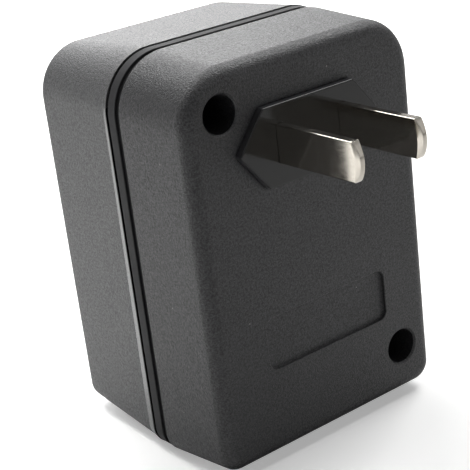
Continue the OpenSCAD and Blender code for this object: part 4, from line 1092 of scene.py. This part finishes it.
def soft_box(name, place_mm, aim_mm, size, watts, spread=180):
    """A square flat lamp of the given size in metres that looks at a point. Its light leaves it within the
    angle of spread, in degrees."""
    data = bpy.data.lights.new(name, "AREA")
    data.shape, data.size, data.energy, data.spread = "SQUARE", size, watts, math.radians(spread)
    lamp = bpy.data.objects.new(name, data)
    place = Vector(place_mm) * MM
    turn = (Vector(aim_mm) * MM - place).to_track_quat("-Z", "Y").to_matrix().to_4x4()
    lamp.matrix_world = Matrix.Translation(place) @ turn
    bpy.context.scene.collection.objects.link(lamp)


TABLE_Z = floor_z / MM
MIDDLE = (0, -20, -20)
soft_box("low_back_light", (-492, -873, 203), MIDDLE, 0.5, 4.5)
soft_box("high_right_light", (-616, -110, 768), MIDDLE, 0.5, 7.1)
soft_box("high_left_light", (280, -650, 560), MIDDLE, 0.25, 0.4)
soft_box("low_left_light", (350, -560, 60), MIDDLE, 0.2, 0.32)
soft_box("table_light_near", (110, -110, 250), (110, -110, TABLE_Z), 0.15, 0.13, 60)
soft_box("table_light_left", (180, 10, 200), (180, 10, TABLE_Z), 0.08, 0.025, 35)
soft_box("table_light_behind", (0, -320, 400), (0, -320, TABLE_Z), 0.25, 1.6)
soft_box("front_card", (-560, 690, 330), (0, 10, -5), 0.6, 0.3)
print("light in watts:", round(sum(light.energy for light in bpy.data.lights), 2))

# %% Sky
DIM, MIRRORED = 0.02, 0.4
world = bpy.data.worlds.new("studio")
bpy.context.scene.world = world
world.use_nodes = True
tree = world.node_tree
tree.nodes.clear()
path = add(tree, "LightPath")
strength = add(tree, "MapRange", Value=path.outputs["Is Glossy Ray"], To_Min=DIM, To_Max=MIRRORED)
strength = add(tree, "MapRange", Value=path.outputs["Is Camera Ray"], To_Min=strength, To_Max=1.0)
background = add(tree, "Background", Color=colour("#ffffff"), Strength=strength)
add(tree, "OutputWorld", Surface=background)
print("sky to the camera 1, to mirrors", MIRRORED, "and to the rest", DIM)

# %% Camera
CAMERA_MM = Vector((130.88, 156.92, 62.20))
AIM_MM = Vector((1.55, -21.6, -21.76))
ROLL = math.radians(-7.1)
LENS_MM, SENSOR_MM = 104.95, 36
camera_data = bpy.data.cameras.new("camera")
camera_data.lens = LENS_MM
camera_data.sensor_width = SENSOR_MM
camera = bpy.data.objects.new("camera", camera_data)
bpy.context.scene.collection.objects.link(camera)
turn = (AIM_MM - CAMERA_MM).to_track_quat("-Z", "Y").to_matrix().to_4x4()
camera.matrix_world = Matrix.Translation(CAMERA_MM * MM) @ turn @ Matrix.Rotation(ROLL, 4, "Z")
bpy.context.scene.camera = camera
print("camera to aim in mm:", round((AIM_MM - CAMERA_MM).length, 1))

bpy.context.scene.view_settings.view_transform = "Standard"
